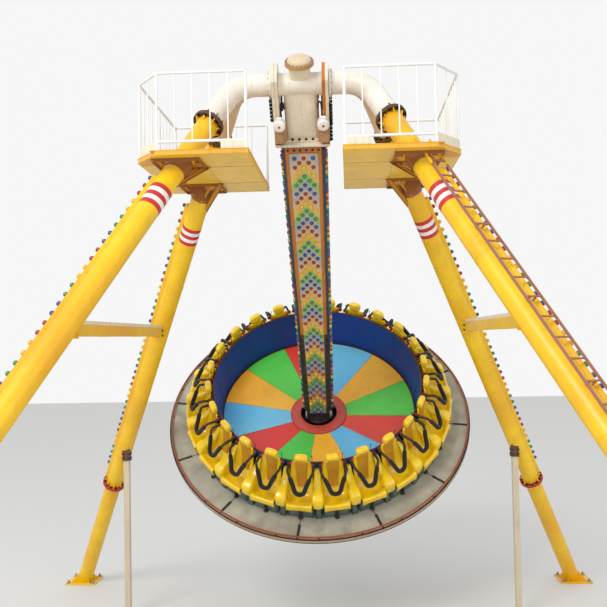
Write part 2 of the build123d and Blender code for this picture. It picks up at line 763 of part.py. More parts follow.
def make_railing(side):
    """Guard railing in straight panels: a post at each end, top and foot rails and upright bars."""
    corners = rail_path(side)
    top = railing_height
    panels = []
    for a, b in zip(corners, corners[1:]):
        length = (b - a).length
        post = Box(railing_tube, railing_tube, top - 0.3)
        near, far = railing_tube * 0.8, length - railing_tube * 0.8
        panel = Pos(near, 0, (top + 0.3) / 2) * post
        pieces = [Pos(far, 0, (top + 0.3) / 2) * post]
        for level in (top - railing_tube / 2, railing_foot_gap):
            pieces.append(Pos((near + far) / 2, 0, level) * Box(far - near, railing_tube * 0.8, railing_tube))
        count = max(2, round(length / railing_bar_pitch))
        bar_height = top - railing_tube / 2 - railing_foot_gap
        for i in range(1, count):
            pieces.append(Pos(near + (far - near) * i / count, 0, railing_foot_gap + bar_height / 2) * Box(
                railing_bar, railing_bar, bar_height))
        frame = Plane(origin=a + Vector(0, 0, platform_level), x_dir=b - a, z_dir=(0, 0, 1))
        panels.append(frame.location * (panel + pieces))
    return Compound(panels)


def make_ladder():
    """Ladder on the upper side of the front right leg, up through the platform's opening."""
    side, end = sides["right"], ends["front"]
    plane = leg_plane(side, end, platform_level)
    length = leg_length(platform_level, ladder_foot_height)
    ladder = None
    for across in (-1, 1):
        stringer = Pos(ladder_standoff, across * ladder_half_width, length / 2) * Box(
            ladder_stringer, ladder_stringer / 2, length)
        ladder = stringer if ladder is None else ladder + stringer
    for i in range(int(length // ladder_rung_pitch)):
        along = (i + 0.5) * ladder_rung_pitch
        ladder += Pos(ladder_standoff, 0, along) * Box(
            ladder_rung_diameter, 2 * ladder_half_width, ladder_rung_diameter)
        if i % 4 == 1:
            for across in (-1, 1):
                inner = leg_radius * 0.8
                ladder += Pos((inner + ladder_standoff) / 2, across * ladder_stem_offset, along) * Box(
                    ladder_standoff - inner, 14, ladder_rung_diameter)
    return plane.location * ladder - leg_cutter(side, end, platform_level + leg_diameter, seam_gap)


def make_lamp_rails():
    """Lamp channels along the legs."""
    rails = []
    for side in sides.values():
        for end in ends.values():
            high = platform_level - platform_thickness - outer_bracket_drop - 60
            low = leg_joint_height + 80
            plane = leg_plane(side, end, high, (side, 0, lamp_rail_rise))
            length = leg_length(high, low)
            rail = Pos(leg_radius + lamp_rail_height / 2 - 12, 0, length / 2) * Box(
                lamp_rail_height, lamp_rail_width, length)
            rails.append(plane.location * rail - leg_cutter(side, end, high + leg_diameter, seam_gap))
    return Compound(rails)


corners = [(side, end) for side in sides.values() for end in ends.values()]
parts = {
    "legs": Compound([make_leg(side, end) for side, end in corners]),
    "feet": Compound([make_foot(side, end) for side, end in corners]),
    "props": Compound([make_prop(side, end) for side, end in corners]),
    "cross_beams": Compound([make_cross_beam(side) for side in sides.values()]),
    "crown": Compound([make_crown(side) for side in sides.values()]),
    "platforms": Compound([make_platform(side) for side in sides.values()]),
    "platform_brackets": Compound([make_platform_brackets(side) for side in sides.values()]),
    "railings": Compound([make_railing(side) for side in sides.values()]),
    "ladder": make_ladder(),
    "lamp_rails": make_lamp_rails(),
}

parts["swing_hub"] = swing_frame * make_hub()
parts["hub_cap"] = swing_frame * make_hub_cap()
parts["hub_cheeks"] = swing_frame * make_cheeks()
parts["drive_motors"] = swing_frame * make_drive_motors()
parts["arm"] = swing_frame * make_arm()
parts["arm_edges"] = swing_frame * make_arm_edges()
parts["arm_spindle"] = swing_frame * make_spindle()

parts["turntable_bearing"] = gondola_frame * make_bearing()
parts["gondola_frame"] = gondola_frame * make_gondola_frame()
parts["hub_ring"] = gondola_frame * make_hub_ring()
colours = ("orange", "blue", "red", "green")
for first, colour in enumerate(colours):
    parts[f"floor_{colour}"] = gondola_frame * Compound([
        make_floor_sector(i) for i in range(sector_count) if i % len(colours) == first])
parts["bowl_wall"] = gondola_frame * make_wall()
parts["deck"] = gondola_frame * make_deck()
parts["rim_band"] = gondola_frame * make_rim()
parts["rim_rail"] = gondola_frame * make_rim_rail()

seat_pieces = {
    "seat_backs": make_seat_back(),
    "seat_pans": make_seat_pan(),
    "seat_bases": make_seat_base(),
    "headrests": make_headrest(),
    "yoke_brackets": make_seat_brackets(),
}
for name, piece in seat_pieces.items():
    parts[name] = Compound([seat_frame(i) * piece for i in range(seat_count)])
bolster = make_bolster()
parts["seat_bolsters"] = Compound([seat_frame(i + 0.5) * bolster for i in range(seat_count)])
yoke = make_yoke()
for i in range(seat_count):
    parts[f"yoke_{i + 1:02d}"] = seat_frame(i) * yoke

os.makedirs("parts", exist_ok=True)
for name, shape in parts.items():
    export_step(shape, f"parts/{name}.step")
print(len(parts), "nodes")
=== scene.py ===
import bpy
import bmesh
from math import asin, atan2, cos, pi, radians, sin, tan
from mathutils import Matrix, Vector


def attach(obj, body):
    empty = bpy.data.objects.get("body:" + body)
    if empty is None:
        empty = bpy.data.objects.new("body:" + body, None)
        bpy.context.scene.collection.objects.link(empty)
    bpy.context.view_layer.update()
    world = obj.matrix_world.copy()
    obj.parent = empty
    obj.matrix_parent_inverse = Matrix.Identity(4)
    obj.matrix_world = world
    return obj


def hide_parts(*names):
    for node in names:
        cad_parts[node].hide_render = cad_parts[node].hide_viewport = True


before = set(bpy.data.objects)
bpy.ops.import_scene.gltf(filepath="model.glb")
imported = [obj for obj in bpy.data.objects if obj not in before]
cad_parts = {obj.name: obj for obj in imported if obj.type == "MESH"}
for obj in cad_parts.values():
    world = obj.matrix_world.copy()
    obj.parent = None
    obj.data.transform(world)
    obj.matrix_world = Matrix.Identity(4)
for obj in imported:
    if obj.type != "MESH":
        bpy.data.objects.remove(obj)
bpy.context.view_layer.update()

# Places on the ride in metres, with the sizes of the CAD source. Distances down a leg or down
# the arm are measured from the swing axis.
PIVOT = Vector((0, 0, 8.8))
APEX_X = 0.94
FOOT_X, FOOT_Y = 5.206, 6.442
SWING = Matrix.Translation(PIVOT) @ Matrix.Rotation(radians(42.8), 4, "X")
GONDOLA = SWING @ Matrix.Rotation(radians(-6.7), 4, "Z")
LEGS = [(-1, -1), (-1, 1), (1, -1), (1, 1)]
LEG_DROP = Vector((FOOT_X - APEX_X, FOOT_Y, -PIVOT.z))
LEG_STEEP = PIVOT.z / LEG_DROP.length
LEG_RADIUS = 0.1495
FLANGE_RADIUS = 0.22
FLANGE_THICK = 0.028
LEG_TOP = 0.655 / LEG_STEEP
LEG_JOINT = 6.4 / LEG_STEEP
SEATS = 24
SECTORS = 12
ARM_START, ARM_END = 1.011, 6.96
ARM_HEAD, SIDE_RISE = 0.905, 0.05
RIM_RADIUS, RAIL_RADIUS = 2.905, 2.863
WALL_RADIUS, WALL_SHEET, WALL_TOP = 1.885, 0.022, 6.04
HUB_RING, HUB_HOLE = 0.544, 0.343
DECK_LEVEL = -6.98


def leg_point(side, end, along):
    """A point on a leg's axis, at a distance down from the swing axis."""
    share = along / LEG_DROP.length
    return Vector((side * (APEX_X + LEG_DROP.x * share), end * LEG_DROP.y * share, PIVOT.z * (1 - share)))


def leg_frame(side, end, along, towards=(0, 0, 1)):
    """A place on a leg's axis: Z runs down the leg, X as near as possible to towards."""
    down = Vector((side * LEG_DROP.x, end * LEG_DROP.y, LEG_DROP.z)).normalized()
    across = Vector(towards)
    x = (across - down * across.dot(down)).normalized()
    turn = Matrix((x, down.cross(x), down)).transposed().to_4x4()
    return Matrix.Translation(leg_point(side, end, along)) @ turn


def seat_frame(number):
    """A seat's place: X outward, Y along the ring, Z along the arm's axis."""
    return GONDOLA @ Matrix.Rotation(radians(-90 + 360 / SEATS * number), 4, "Z")


def at(x, y, z):
    return Matrix.Translation((x, y, z))


def turned(angle, axis):
    return Matrix.Rotation(radians(angle), 4, axis)


# Mesh making

def put(mesh, name, body, materials, replaces=()):
    """A finished piece at the origin, riding on a CAD body."""
    piece = bpy.data.objects.new(name, mesh)
    bpy.context.collection.objects.link(piece)
    if materials:
        mesh.materials.clear()
        for material in materials:
            mesh.materials.append(material)
    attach(piece, body)
    if replaces:
        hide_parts(*replaces)
    return piece


def smooth_path(points, steps=4):
    """Points on a smooth line through the given ones."""
    points = [Vector(p) for p in points]
    ends = [points[0] * 2 - points[1]] + points + [points[-1] * 2 - points[-2]]
    line = []
    for a, b, c, d in zip(ends, ends[1:], ends[2:], ends[3:]):
        for i in range(steps):
            t = i / steps
            line.append(0.5 * (2 * b + (c - a) * t + (2 * a - 5 * b + 4 * c - d) * t * t
                               + (3 * b - a - 3 * c + d) * t ** 3))
    return line + [points[-1]]


def arc_path(start, corner, end, radius, steps):
    """Two straight runs with an arc between them."""
    back, ahead = (start - corner).normalized(), (end - corner).normalized()
    half = back.angle(ahead) / 2
    centre = corner + (back + ahead).normalized() * (radius / sin(half))
    first = corner + back * (radius / tan(half)) - centre
    last = corner + ahead * (radius / tan(half)) - centre
    arc = [centre + (first * sin((pi - 2 * half) * (1 - t)) + last * sin((pi - 2 * half) * t))
           / sin(pi - 2 * half) for t in [i / steps for i in range(steps + 1)]]
    return [start] + arc + [end]


class Shape:
    """Gathers solids in one mesh; each call places what it makes with the matrix that it is given."""

    def __init__(self):
        self.bm = bmesh.new()

    def add(self, points, faces, place=None, slot=0):
        verts = [self.bm.verts.new(place @ Vector(p) if place else Vector(p)) for p in points]
        for face in faces:
            made = self.bm.faces.new([verts[i] for i in face])
            made.material_index = slot
        return verts

    def rings(self, rings, place=None, slot=0, looped=False):
        """Skins a row of rings of points, all with the same number of points."""
        count, rows = len(rings[0]), len(rings)
        faces = []
        for r in range(rows if looped else rows - 1):
            a, b = r * count, ((r + 1) % rows) * count
            faces += [(a + i, a + (i + 1) % count, b + (i + 1) % count, b + i) for i in range(count)]
        if not looped:
            faces += [tuple(range(count))[::-1], tuple(range((rows - 1) * count, rows * count))]
        self.add([p for ring in rings for p in ring], faces, place, slot)

    def lathe(self, profile, place=None, sides=32, slot=0, looped=False):
        """Turns a profile of (radius, height) points about Z; looped closes a ring's section."""
        self.rings([[(r * cos(2 * pi * i / sides), r * sin(2 * pi * i / sides), z) for i in range(sides)]
                    for r, z in profile], place, slot, looped)

    def collar(self, inner, outer, low, high, place=None, sides=48, slot=0, edge=0.003):
        """A turned ring with broken edges."""
        self.lathe([(inner, low), (outer - edge, low), (outer, low + edge), (outer, high - edge),
                    (outer - edge, high), (inner, high)], place, sides, slot, looped=True)

    def weld(self, radius, level, place=None, sides=48, slot=0, size=0.006):
        """A weld bead round a turned piece."""
        self.lathe([(radius + size * cos(a), level + size * sin(a)) for a in [pi * i / 3 for i in range(6)]],
                   place, sides, slot, looped=True)

    def tube(self, points, radius, place=None, sides=12, slot=0):
        """A round bar along a path, of one radius or one radius for each point."""
        points = [Vector(p) for p in points]
        radii = radius if isinstance(radius, (list, tuple)) else [radius] * len(points)
        along = (points[1] - points[0]).normalized()
        up = Vector((0, 0, 1)) if abs(along.z) < 0.9 else Vector((1, 0, 0))
        rings = []
        for i, point in enumerate(points):
            along = (points[min(i + 1, len(points) - 1)] - points[max(i - 1, 0)]).normalized()
            across = along.cross(up).normalized()
            up = across.cross(along).normalized()
            rings.append([point + radii[i] * (cos(2 * pi * k / sides) * across + sin(2 * pi * k / sides) * up)
                          for k in range(sides)])
        self.rings(rings, place, slot)

    def block(self, size, centre=(0, 0, 0), place=None, slot=0, edge=0.0):
        """A box, with broken edges where an edge width is given."""
        part = bmesh.new()
        bmesh.ops.create_cube(part, size=1.0)
        bmesh.ops.scale(part, vec=size, verts=part.verts)
        if edge:
            bmesh.ops.bevel(part, geom=part.edges[:], offset=min(edge, 0.4 * min(size)), segments=1,
                            affect="EDGES", profile=0.5)
        bmesh.ops.translate(part, vec=centre, verts=part.verts)
        part.verts.index_update()
        self.add([v.co.copy() for v in part.verts], [[v.index for v in f.verts] for f in part.faces], place, slot)
        part.free()

    def plate(self, outline, low, high, place=None, slot=0):
        """A plate with an outline in X and Y, between two heights."""
        self.rings([[(x, y, z) for x, y in outline] for z in (low, high)], place, slot)

    def rib(self, outline, thick, place=None, slot=0):
        """A plate that stands up: its outline is in X and Z, its thickness along Y."""
        self.plate([(x, z) for x, z in outline], -thick / 2, thick / 2,
                   (place if place else Matrix()) @ turned(90, "X"), slot)

    def pillow(self, outline, half, edge, place=None, slot=0, width=None):
        """A moulded body from a closed outline in X and Z, with rounded sides across Y."""
        count = len(outline)
        area = sum(outline[i][0] * outline[(i + 1) % count][1] - outline[(i + 1) % count][0] * outline[i][1]
                   for i in range(count))
        turn = 1 if area > 0 else -1
        inward = []
        for i in range(count):
            a, b = Vector(outline[i - 1]), Vector(outline[(i + 1) % count])
            along = (b - a).normalized()
            inward.append(Vector((-along.y, along.x)) * turn)
        rings = []
        for share in (-1, -0.93, -0.75, 0, 0.75, 0.93, 1):
            depth = edge * (1 - sin(pi / 2 * min(1, (1 - abs(share)) * half / edge))) if abs(share) > 0.5 else 0
            ring = []
            for (x, z), move in zip(outline, inward):
                spread = half * (width(x, z) if width else 1.0)
                ring.append((x + move.x * depth, spread * share, z + move.y * depth))
            rings.append(ring)
        self.rings(rings, place, slot)

    def mesh(self, name, sharp=35, merge=0.0):
        """The finished mesh, with shading that breaks only at edges sharper than an angle."""
        if merge:
            bmesh.ops.remove_doubles(self.bm, verts=self.bm.verts, dist=merge)
        bmesh.ops.recalc_face_normals(self.bm, faces=self.bm.faces)
        for face in self.bm.faces:
            face.smooth = True
        mesh = bpy.data.meshes.new(name)
        self.bm.to_mesh(mesh)
        self.bm.free()
        mesh.set_sharp_from_angle(angle=radians(sharp))
        return mesh


def node(tree, kind, values=None, links=None):
    """Adds a node to a tree: values go to its sockets or its settings, links join sockets to it."""
    made = tree.nodes.new(kind)
    for name, value in (values or {}).items():
        if isinstance(name, str) and name not in made.inputs:
            setattr(made, name, value)
    for name, value in (values or {}).items():
        if not isinstance(name, str) or name in made.inputs:
            made.inputs[name].default_value = value
    for name, source in (links or {}).items():
        tree.links.new(source, made.inputs[name])
    return made


def geometry_tree(name, inputs):
    """A geometry tree with named inputs; gives the tree and its input node."""
    tree = bpy.data.node_groups.new(name, "GeometryNodeTree")
    for label, kind in inputs:
        tree.interface.new_socket(label, in_out="INPUT", socket_type="NodeSocket" + kind)
    tree.interface.new_socket("Geometry", in_out="OUTPUT", socket_type="NodeSocketGeometry")
    return tree, node(tree, "NodeGroupInput")


def end_tree(tree, copies, finish_socket):
    real = node(tree, "GeometryNodeRealizeInstances", links={"Geometry": copies})
    painted = node(tree, "GeometryNodeSetMaterial", links={"Geometry": real.outputs[0], "Material": finish_socket})
    node(tree, "NodeGroupOutput", links={"Geometry": painted.outputs[0]})


def copies_tree():
    """Sets a copy of a piece on each point, turned as the point says."""
    tree, given = geometry_tree("set out copies", [("Geometry", "Geometry"), ("Piece", "Object"),
                                                   ("Size", "Float"), ("Finish", "Material")])
    turn = node(tree, "GeometryNodeInputNamedAttribute", {"data_type": "FLOAT_VECTOR", "Name": "turn"})
    piece = node(tree, "GeometryNodeObjectInfo", {"transform_space": "ORIGINAL"}, {"Object": given.outputs["Piece"]})
    made = node(tree, "GeometryNodeInstanceOnPoints", links={
        "Points": given.outputs["Geometry"], "Instance": piece.outputs["Geometry"],
        "Rotation": turn.outputs["Attribute"], "Scale": given.outputs["Size"]})
    end_tree(tree, made.outputs[0], given.outputs["Finish"])
    return tree


def bolts_tree():
    """Sets a hexagon head on its washer on each point."""
    tree, given = geometry_tree("set out bolts", [
        ("Geometry", "Geometry"), ("Across corners", "Float"), ("Head height", "Float"), ("Finish", "Material")])
    turn = node(tree, "GeometryNodeInputNamedAttribute", {"data_type": "FLOAT_VECTOR", "Name": "turn"})
    radius = node(tree, "ShaderNodeMath", {"operation": "MULTIPLY", 1: 0.5}, {0: given.outputs["Across corners"]})
    head = node(tree, "GeometryNodeMeshCylinder", {"Vertices": 6},
                {"Radius": radius.outputs[0], "Depth": given.outputs["Head height"]})
    half = node(tree, "ShaderNodeMath", {"operation": "MULTIPLY", 1: 0.5}, {0: given.outputs["Head height"]})
    lift = node(tree, "ShaderNodeCombineXYZ", links={"Z": half.outputs[0]})
    raised = node(tree, "GeometryNodeTransform", links={"Geometry": head.outputs["Mesh"],
                                                        "Translation": lift.outputs[0]})
    wide = node(tree, "ShaderNodeMath", {"operation": "MULTIPLY", 1: 0.62}, {0: given.outputs["Across corners"]})
    washer = node(tree, "GeometryNodeMeshCylinder", {"Vertices": 12, "Depth": 0.006}, {"Radius": wide.outputs[0]})
    both = node(tree, "GeometryNodeJoinGeometry")
    tree.links.new(raised.outputs[0], both.inputs[0])
    tree.links.new(washer.outputs["Mesh"], both.inputs[0])
    made = node(tree, "GeometryNodeInstanceOnPoints", links={
        "Points": given.outputs["Geometry"], "Instance": both.outputs[0], "Rotation": turn.outputs["Attribute"]})
    end_tree(tree, made.outputs[0], given.outputs["Finish"])
    return tree


def set_out(tree, spots, name, inputs):
    """Runs a tree on points at the given places and gives the plain mesh that it makes."""
    base = bpy.data.meshes.new(name + "_points")
    base.from_pydata([spot.to_translation() for spot in spots], [], [])
    turn = base.attributes.new("turn", "FLOAT_VECTOR", "POINT")
    for i, spot in enumerate(spots):
        turn.data[i].vector = spot.to_euler("XYZ")
    holder = bpy.data.objects.new(name + "_points", base)
    bpy.context.collection.objects.link(holder)
    modifier = holder.modifiers.new("set out", "NODES")
    modifier.node_group = tree
    sockets = {item.name: item.identifier for item in tree.interface.items_tree if item.in_out == "INPUT"}
    for label, value in inputs.items():
        modifier[sockets[label]] = value
    seen = holder.evaluated_get(bpy.context.evaluated_depsgraph_get())
    mesh = bpy.data.meshes.new_from_object(seen)
    mesh.name = name
    holder.modifiers.clear()
    bpy.data.objects.remove(holder)
    return mesh


COPIES = copies_tree()
BOLTS = bolts_tree()


def copy_out(name, shape, spots, body, material, replaces=(), size=1.0, sharp=35):
    """Copies of one small piece, in one mesh on a body."""
    master = bpy.data.objects.new(name + "_piece", shape.mesh(name + "_piece", sharp))
    bpy.context.collection.objects.link(master)
    mesh = set_out(COPIES, spots, name, {"Piece": master, "Size": size, "Finish": material})
    bpy.data.objects.remove(master)
    return put(mesh, name, body, None, replaces)


def bolt_out(name, spots, body, material, across=0.036, height=0.015):
    """Hexagon bolts at the given places, Z pointing out of the surface."""
    mesh = set_out(BOLTS, spots, name, {"Across corners": across, "Head height": height, "Finish": material})
    return put(mesh, name, body, None)


def circle_spots(place, radius, count, start=0.0, level=0.0, inward=False):
    """Places on a circle about Z, facing along Z or against it."""
    flip = turned(180, "X") if inward else Matrix()
    return [place @ turned(start + 360 / count * i, "Z") @ at(radius, 0, level) @ flip for i in range(count)]


# Colours and finishes

def paint_colour(code):
    """An sRGB hex colour as the linear values that a shader takes."""
    channels = [int(code[i:i + 2], 16) / 255 for i in (0, 2, 4)]
    return [c / 12.92 if c <= 0.04045 else ((c + 0.055) / 1.055) ** 2.4 for c in channels] + [1.0]


def finish(name, code, rough=0.4, metallic=0.0, coat=0.0, mottle=0.08, mottle_mm=260.0, grain_mm=0.0,
           grain_depth=0.0, dirt="6B5D48", dirt_share=0.0, dirt_mm=700.0, streak_share=0.0, streak_mm=45.0,
           chips=None, chips_mm=22.0, sheen=0.0, tint=None, tint_mm=1500.0):
    """A surface: base colour with soft mottling, grime, rain streaks, chips and a fine grain in relief."""
    material = bpy.data.materials.new(name)
    material.use_nodes = True
    tree = material.node_tree
    shader = tree.nodes["Principled BSDF"]
    for socket, value in (("Metallic", metallic), ("Coat Weight", coat), ("Coat Roughness", 0.15),
                          ("Sheen Weight", sheen)):
        shader.inputs[socket].default_value = value
    where = node(tree, "ShaderNodeTexCoord").outputs["Object"]
    base = paint_colour(code)
    cloud = node(tree, "ShaderNodeTexNoise", {"Scale": 1000 / mottle_mm, "Detail": 3.0}, {"Vector": where})
    share = node(tree, "ShaderNodeMapRange", {"From Min": 0.3, "From Max": 0.7}, {"Value": cloud.outputs[0]})
    colour = node(tree, "ShaderNodeMix", {"data_type": "RGBA", 6: [c * (1 - mottle) for c in base[:3]] + [1.0],
                                          7: [min(1.0, c * (1 + 0.6 * mottle)) for c in base[:3]] + [1.0]},
                  {0: share.outputs[0]}).outputs[2]
    layers = []
    if tint:
        layers.append((tint_mm, 2.0, where, 0.4, 0.65, 1.0, tint))
    if streak_share:
        stretched = node(tree, "ShaderNodeMapping", {"Scale": (1.0, 1.0, 0.06)}, {"Vector": where}).outputs[0]
        layers.append((streak_mm, 4.0, stretched, 0.52, 0.72, streak_share, dirt))
    if dirt_share:
        layers.append((dirt_mm, 6.0, where, 0.48, 0.74, dirt_share, dirt))
    if chips:
        layers.append((chips_mm, 8.0, where, 0.63, 0.67, 0.85, chips))
    for size, detail, coordinates, low, high, most, code_over in layers:
        spread = node(tree, "ShaderNodeTexNoise", {"Scale": 1000 / size, "Detail": detail, "Roughness": 0.62},
                      {"Vector": coordinates})
        amount = node(tree, "ShaderNodeMapRange", {"From Min": low, "From Max": high, "To Max": most},
                      {"Value": spread.outputs[0]})
        colour = node(tree, "ShaderNodeMix", {"data_type": "RGBA", 7: paint_colour(code_over)},
                      {0: amount.outputs[0], 6: colour}).outputs[2]
    tree.links.new(colour, shader.inputs["Base Color"])
    smear = node(tree, "ShaderNodeTexNoise", {"Scale": 1000 / 70.0, "Detail": 4.0}, {"Vector": where})
    gloss = node(tree, "ShaderNodeMapRange", {"To Min": max(0.04, rough - 0.09), "To Max": min(1.0, rough + 0.12)},
                 {"Value": smear.outputs[0]})
    tree.links.new(gloss.outputs[0], shader.inputs["Roughness"])
    if grain_mm:
        grain = node(tree, "ShaderNodeTexNoise", {"Scale": 1000 / grain_mm, "Detail": 2.0}, {"Vector": where})
        relief = node(tree, "ShaderNodeBump", {"Distance": grain_depth / 1000, "Strength": 0.7},
                      {"Height": grain.outputs[0]})
        tree.links.new(relief.outputs[0], shader.inputs["Normal"])
    return material


def steel_paint(name, code, **extra):
    """Brushed and sprayed machinery enamel on steel: satin gloss, soft orange peel, dust and rain streaks."""
    settings = dict(rough=0.4, coat=0.1, mottle=0.06, grain_mm=5.0, grain_depth=0.2, dirt_share=0.16,
                    streak_share=0.18)
    settings.update(extra)
    return finish(name, code, **settings)


# Enamels of the portal
leg_paint = steel_paint("yellow alkyd enamel", "F4C60C", dirt="A07418", mottle=0.09, tint="ECB008")
band_red = steel_paint("red marking enamel", "C6202A")
band_white = steel_paint("white marking enamel", "F0ECE4")
# The crown's pipes share one cream paint: the front pipes take a copy whitened as painted light, and the rear pipes
# take a copy darkened as painted shade, with dirt
crown_lit_white = steel_paint("pipe enamel whitened as painted light", "E9E3D8", dirt="A58F70", dirt_share=0.25)
crown_shaded_cream = steel_paint("cream pipe enamel darkened as painted shade", "D6C2A0", dirt="9C7A50", dirt_share=0.35)
# Dark brown primer of the flanges; on the post saddles the same brown is painted shade of the posts' open upper ends
brown_primer_and_shade = steel_paint("dark brown iron primer and painted shade", "5A3A24", rough=0.6, coat=0.0, chips="8C5A34")
joint_red = steel_paint("red oxide joint primer", "B23226", rough=0.5, coat=0.0, chips="7A4A3A")
prop_paint = steel_paint("sand grey post enamel", "CBBDA2", rough=0.5)
beam_strip = steel_paint("pale strip enamel", "E6DCC4", rough=0.5)
deck_ochre = steel_paint("ochre floor plate enamel", "E8AE34", rough=0.5, dirt_share=0.3, dirt="7C5A20",
                         grain_mm=14.0, grain_depth=0.7, chips="9A7B40")
# Ochre of the struts under the platforms, darker than the floor plates: partly dirt, partly painted shade of the
# platforms
strut_ochre_dirt_and_shade = steel_paint("ochre frame enamel darkened with dirt and painted shade", "C98A1E", rough=0.5, dirt_share=0.25, dirt="6E4A18")
# Brown primer of the channel frames, also used as painted shadow of the platforms on the legs
channel_brown_and_leg_shadow = steel_paint("brown channel primer and painted leg shadow", "96581E", rough=0.5, dirt_share=0.3, dirt="4A2A14")
# Yellow of the platforms' underside, brightened as painted bounce light from the ground
soffit_painted_bounce_light = steel_paint("yellow soffit enamel brightened as painted bounce light", "F6C83E", dirt="B07A20", mottle=0.1, dirt_share=0.25)
rail_white = steel_paint("white railing enamel", "F0F0EC", rough=0.3, streak_share=0.1)
ladder_paint = steel_paint("faded red oxide primer", "A06A56", rough=0.6, coat=0.0, chips="8E5F50")
# Castings and drives of the hub
hub_paint = steel_paint("ivory casting enamel", "E4DAC2", dirt="9F8760", dirt_share=0.3, grain_mm=9.0,
                        grain_depth=0.5)
drum_paint = steel_paint("bleached casting enamel", "EBE5D6", dirt="A89A80", dirt_share=0.3, grain_mm=9.0,
                         grain_depth=0.5)
motor_white = steel_paint("white motor enamel", "EFEFEB", rough=0.28, streak_share=0.05)
gearbox_tan = steel_paint("tan gearbox enamel", "B78A58", rough=0.45, dirt="5A3E22", dirt_share=0.35)
gear_brown = steel_paint("greasy red brown primer", "8A3B22", rough=0.35)
gear_black = finish("oiled black gear steel", "1B1A1C", rough=0.3, metallic=0.85, mottle=0.3, mottle_mm=40.0)
# Arm


def chevron_lamp_glow_sheet():
    """Cream sheet with the lamps' coloured light painted on in chevrons of four soft colours, which repeat down the arm
    under the lamps.
    """
    material = finish("cream sheet with painted lamp glow", "CFC79A", rough=0.42, mottle=0.1, mottle_mm=420.0)
    tree = material.node_tree
    shader = tree.nodes["Principled BSDF"]
    below = shader.inputs["Base Color"].links[0].from_socket
    where = tree.nodes["Texture Coordinate"].outputs["Object"]
    # The arm's own axes: X across, Z up along the arm
    local = node(tree, "ShaderNodeMapping", {"vector_type": "TEXTURE", "Location": PIVOT,
                                             "Rotation": (radians(42.8), 0, 0)}, {"Vector": where})
    split = node(tree, "ShaderNodeSeparateXYZ", links={"Vector": local.outputs[0]})
    across = node(tree, "ShaderNodeMath", {"operation": "ABSOLUTE"}, {0: split.outputs["X"]})
    slant = node(tree, "ShaderNodeMath", {"operation": "MULTIPLY_ADD", 1: 0.1588 / 0.134},
                 {0: across.outputs[0], 2: split.outputs["Z"]})
    turns = node(tree, "ShaderNodeMath", {"operation": "MULTIPLY_ADD", 1: -0.25 / 0.1588,
                                          2: -(1.085 - 0.079) / (4 * 0.1588)}, {0: slant.outputs[0]})
    cycle = node(tree, "ShaderNodeMath", {"operation": "FRACT"}, {0: turns.outputs[0]})
    ramp = node(tree, "ShaderNodeValToRGB", links={"Fac": cycle.outputs[0]})
    # Painted glow of the red, yellow, green and blue lamps on the sheet
    codes = ["C8B096", "E0AE1C", "7CAE44", "9CA0B4"]
    stops = ramp.color_ramp.elements
    stops[0].position, stops[1].position = 0.0, 0.22
    for position in (0.28, 0.47, 0.53, 0.72, 0.78, 0.97):
        stops.new(position)
    for i, stop in enumerate(stops):
        stop.color = paint_colour(codes[i // 2])
    # Mixes the painted lamp glow into the cream sheet
    painted = node(tree, "ShaderNodeMix", {"data_type": "RGBA", 0: 0.6}, {6: below, 7: ramp.outputs[0]})
    tree.links.new(painted.outputs[2], shader.inputs["Base Color"])
    return material


arm_ground_lamp_glow = chevron_lamp_glow_sheet()
arm_orange = steel_paint("burnt orange edge enamel", "C0701C", dirt="5E3A18", dirt_share=0.3)
arm_navy = steel_paint("navy side enamel", "123C64", rough=0.35, tint="105060", tint_mm=800.0)
# Dark brown of the arm's lower edge bars and foot band, deepened as painted shade of the lower arm
arm_foot_brown_and_shade = steel_paint("dark brown foot enamel deepened as painted shade", "3A2418", rough=0.5)
LAMP_CODES = {"red": "9E1420", "yellow": "E8B51E", "green": "1E8A44", "blue": "1E3F96"}
lamp_caps = {name: finish(name + " polycarbonate lamp cap", code, rough=0.16, coat=0.7, mottle=0.16,
                          mottle_mm=16.0) for name, code in LAMP_CODES.items()}
# Metal left bare
bare_steel = finish("machined bare steel", "9A9DA0", rough=0.3, metallic=1.0, mottle=0.12, grain_mm=1.0,
                    grain_depth=0.03)
zinc = finish("zinc plated steel", "A9A594", rough=0.36, metallic=0.9, mottle=0.2, mottle_mm=30.0)
bolt_dark = finish("phosphated bolt steel", "2C2724", rough=0.5, metallic=0.7, mottle=0.3, mottle_mm=30.0)
# Gondola
frame_teal = steel_paint("teal chassis enamel", "2C4F4C", rough=0.45, dirt="1E2A28", dirt_share=0.4)
ring_red = steel_paint("brick red ring enamel", "C94E42", rough=0.4, mottle=0.1, dirt="7C2F28")
throat_brown = steel_paint("dark brown throat primer", "2C1712", rough=0.55, coat=0.0)
sector_paints = {
    "floor_blue": steel_paint("sky blue sheet enamel", "4CB0E8", tint="76CCEE", tint_mm=2600.0),
    "floor_orange": steel_paint("golden orange sheet enamel", "FAB020", tint="F9BE3C", tint_mm=2600.0),
    "floor_green": steel_paint("leaf green sheet enamel", "62DA50", tint="4CCA4A", tint_mm=2600.0),
    "floor_red": steel_paint("signal red sheet enamel", "EA4632", tint="DC3830", tint_mm=2600.0),
}
wall_blue = steel_paint("royal blue sheet enamel", "05429A", rough=0.62, coat=0.0, tint="043472", tint_mm=1500.0,
                        dirt="0A2A50")
wall_edge = steel_paint("dark maroon edge enamel", "3C1814", rough=0.5)
deck_coat = finish("stone grey grit coating", "B2AD9C", rough=0.75, mottle=0.16, mottle_mm=300.0, grain_mm=3.0,
                   grain_depth=0.9, dirt_share=0.5, dirt="5E5442", dirt_mm=420.0)
rim_tan = steel_paint("tan fascia enamel", "B99A78", rough=0.5, dirt_share=0.4, dirt="6E4C38", chips="D8C8B0",
                      chips_mm=90.0)
rim_brown = steel_paint("red brown rail enamel", "96442C", rough=0.5, chips="C8A58C")
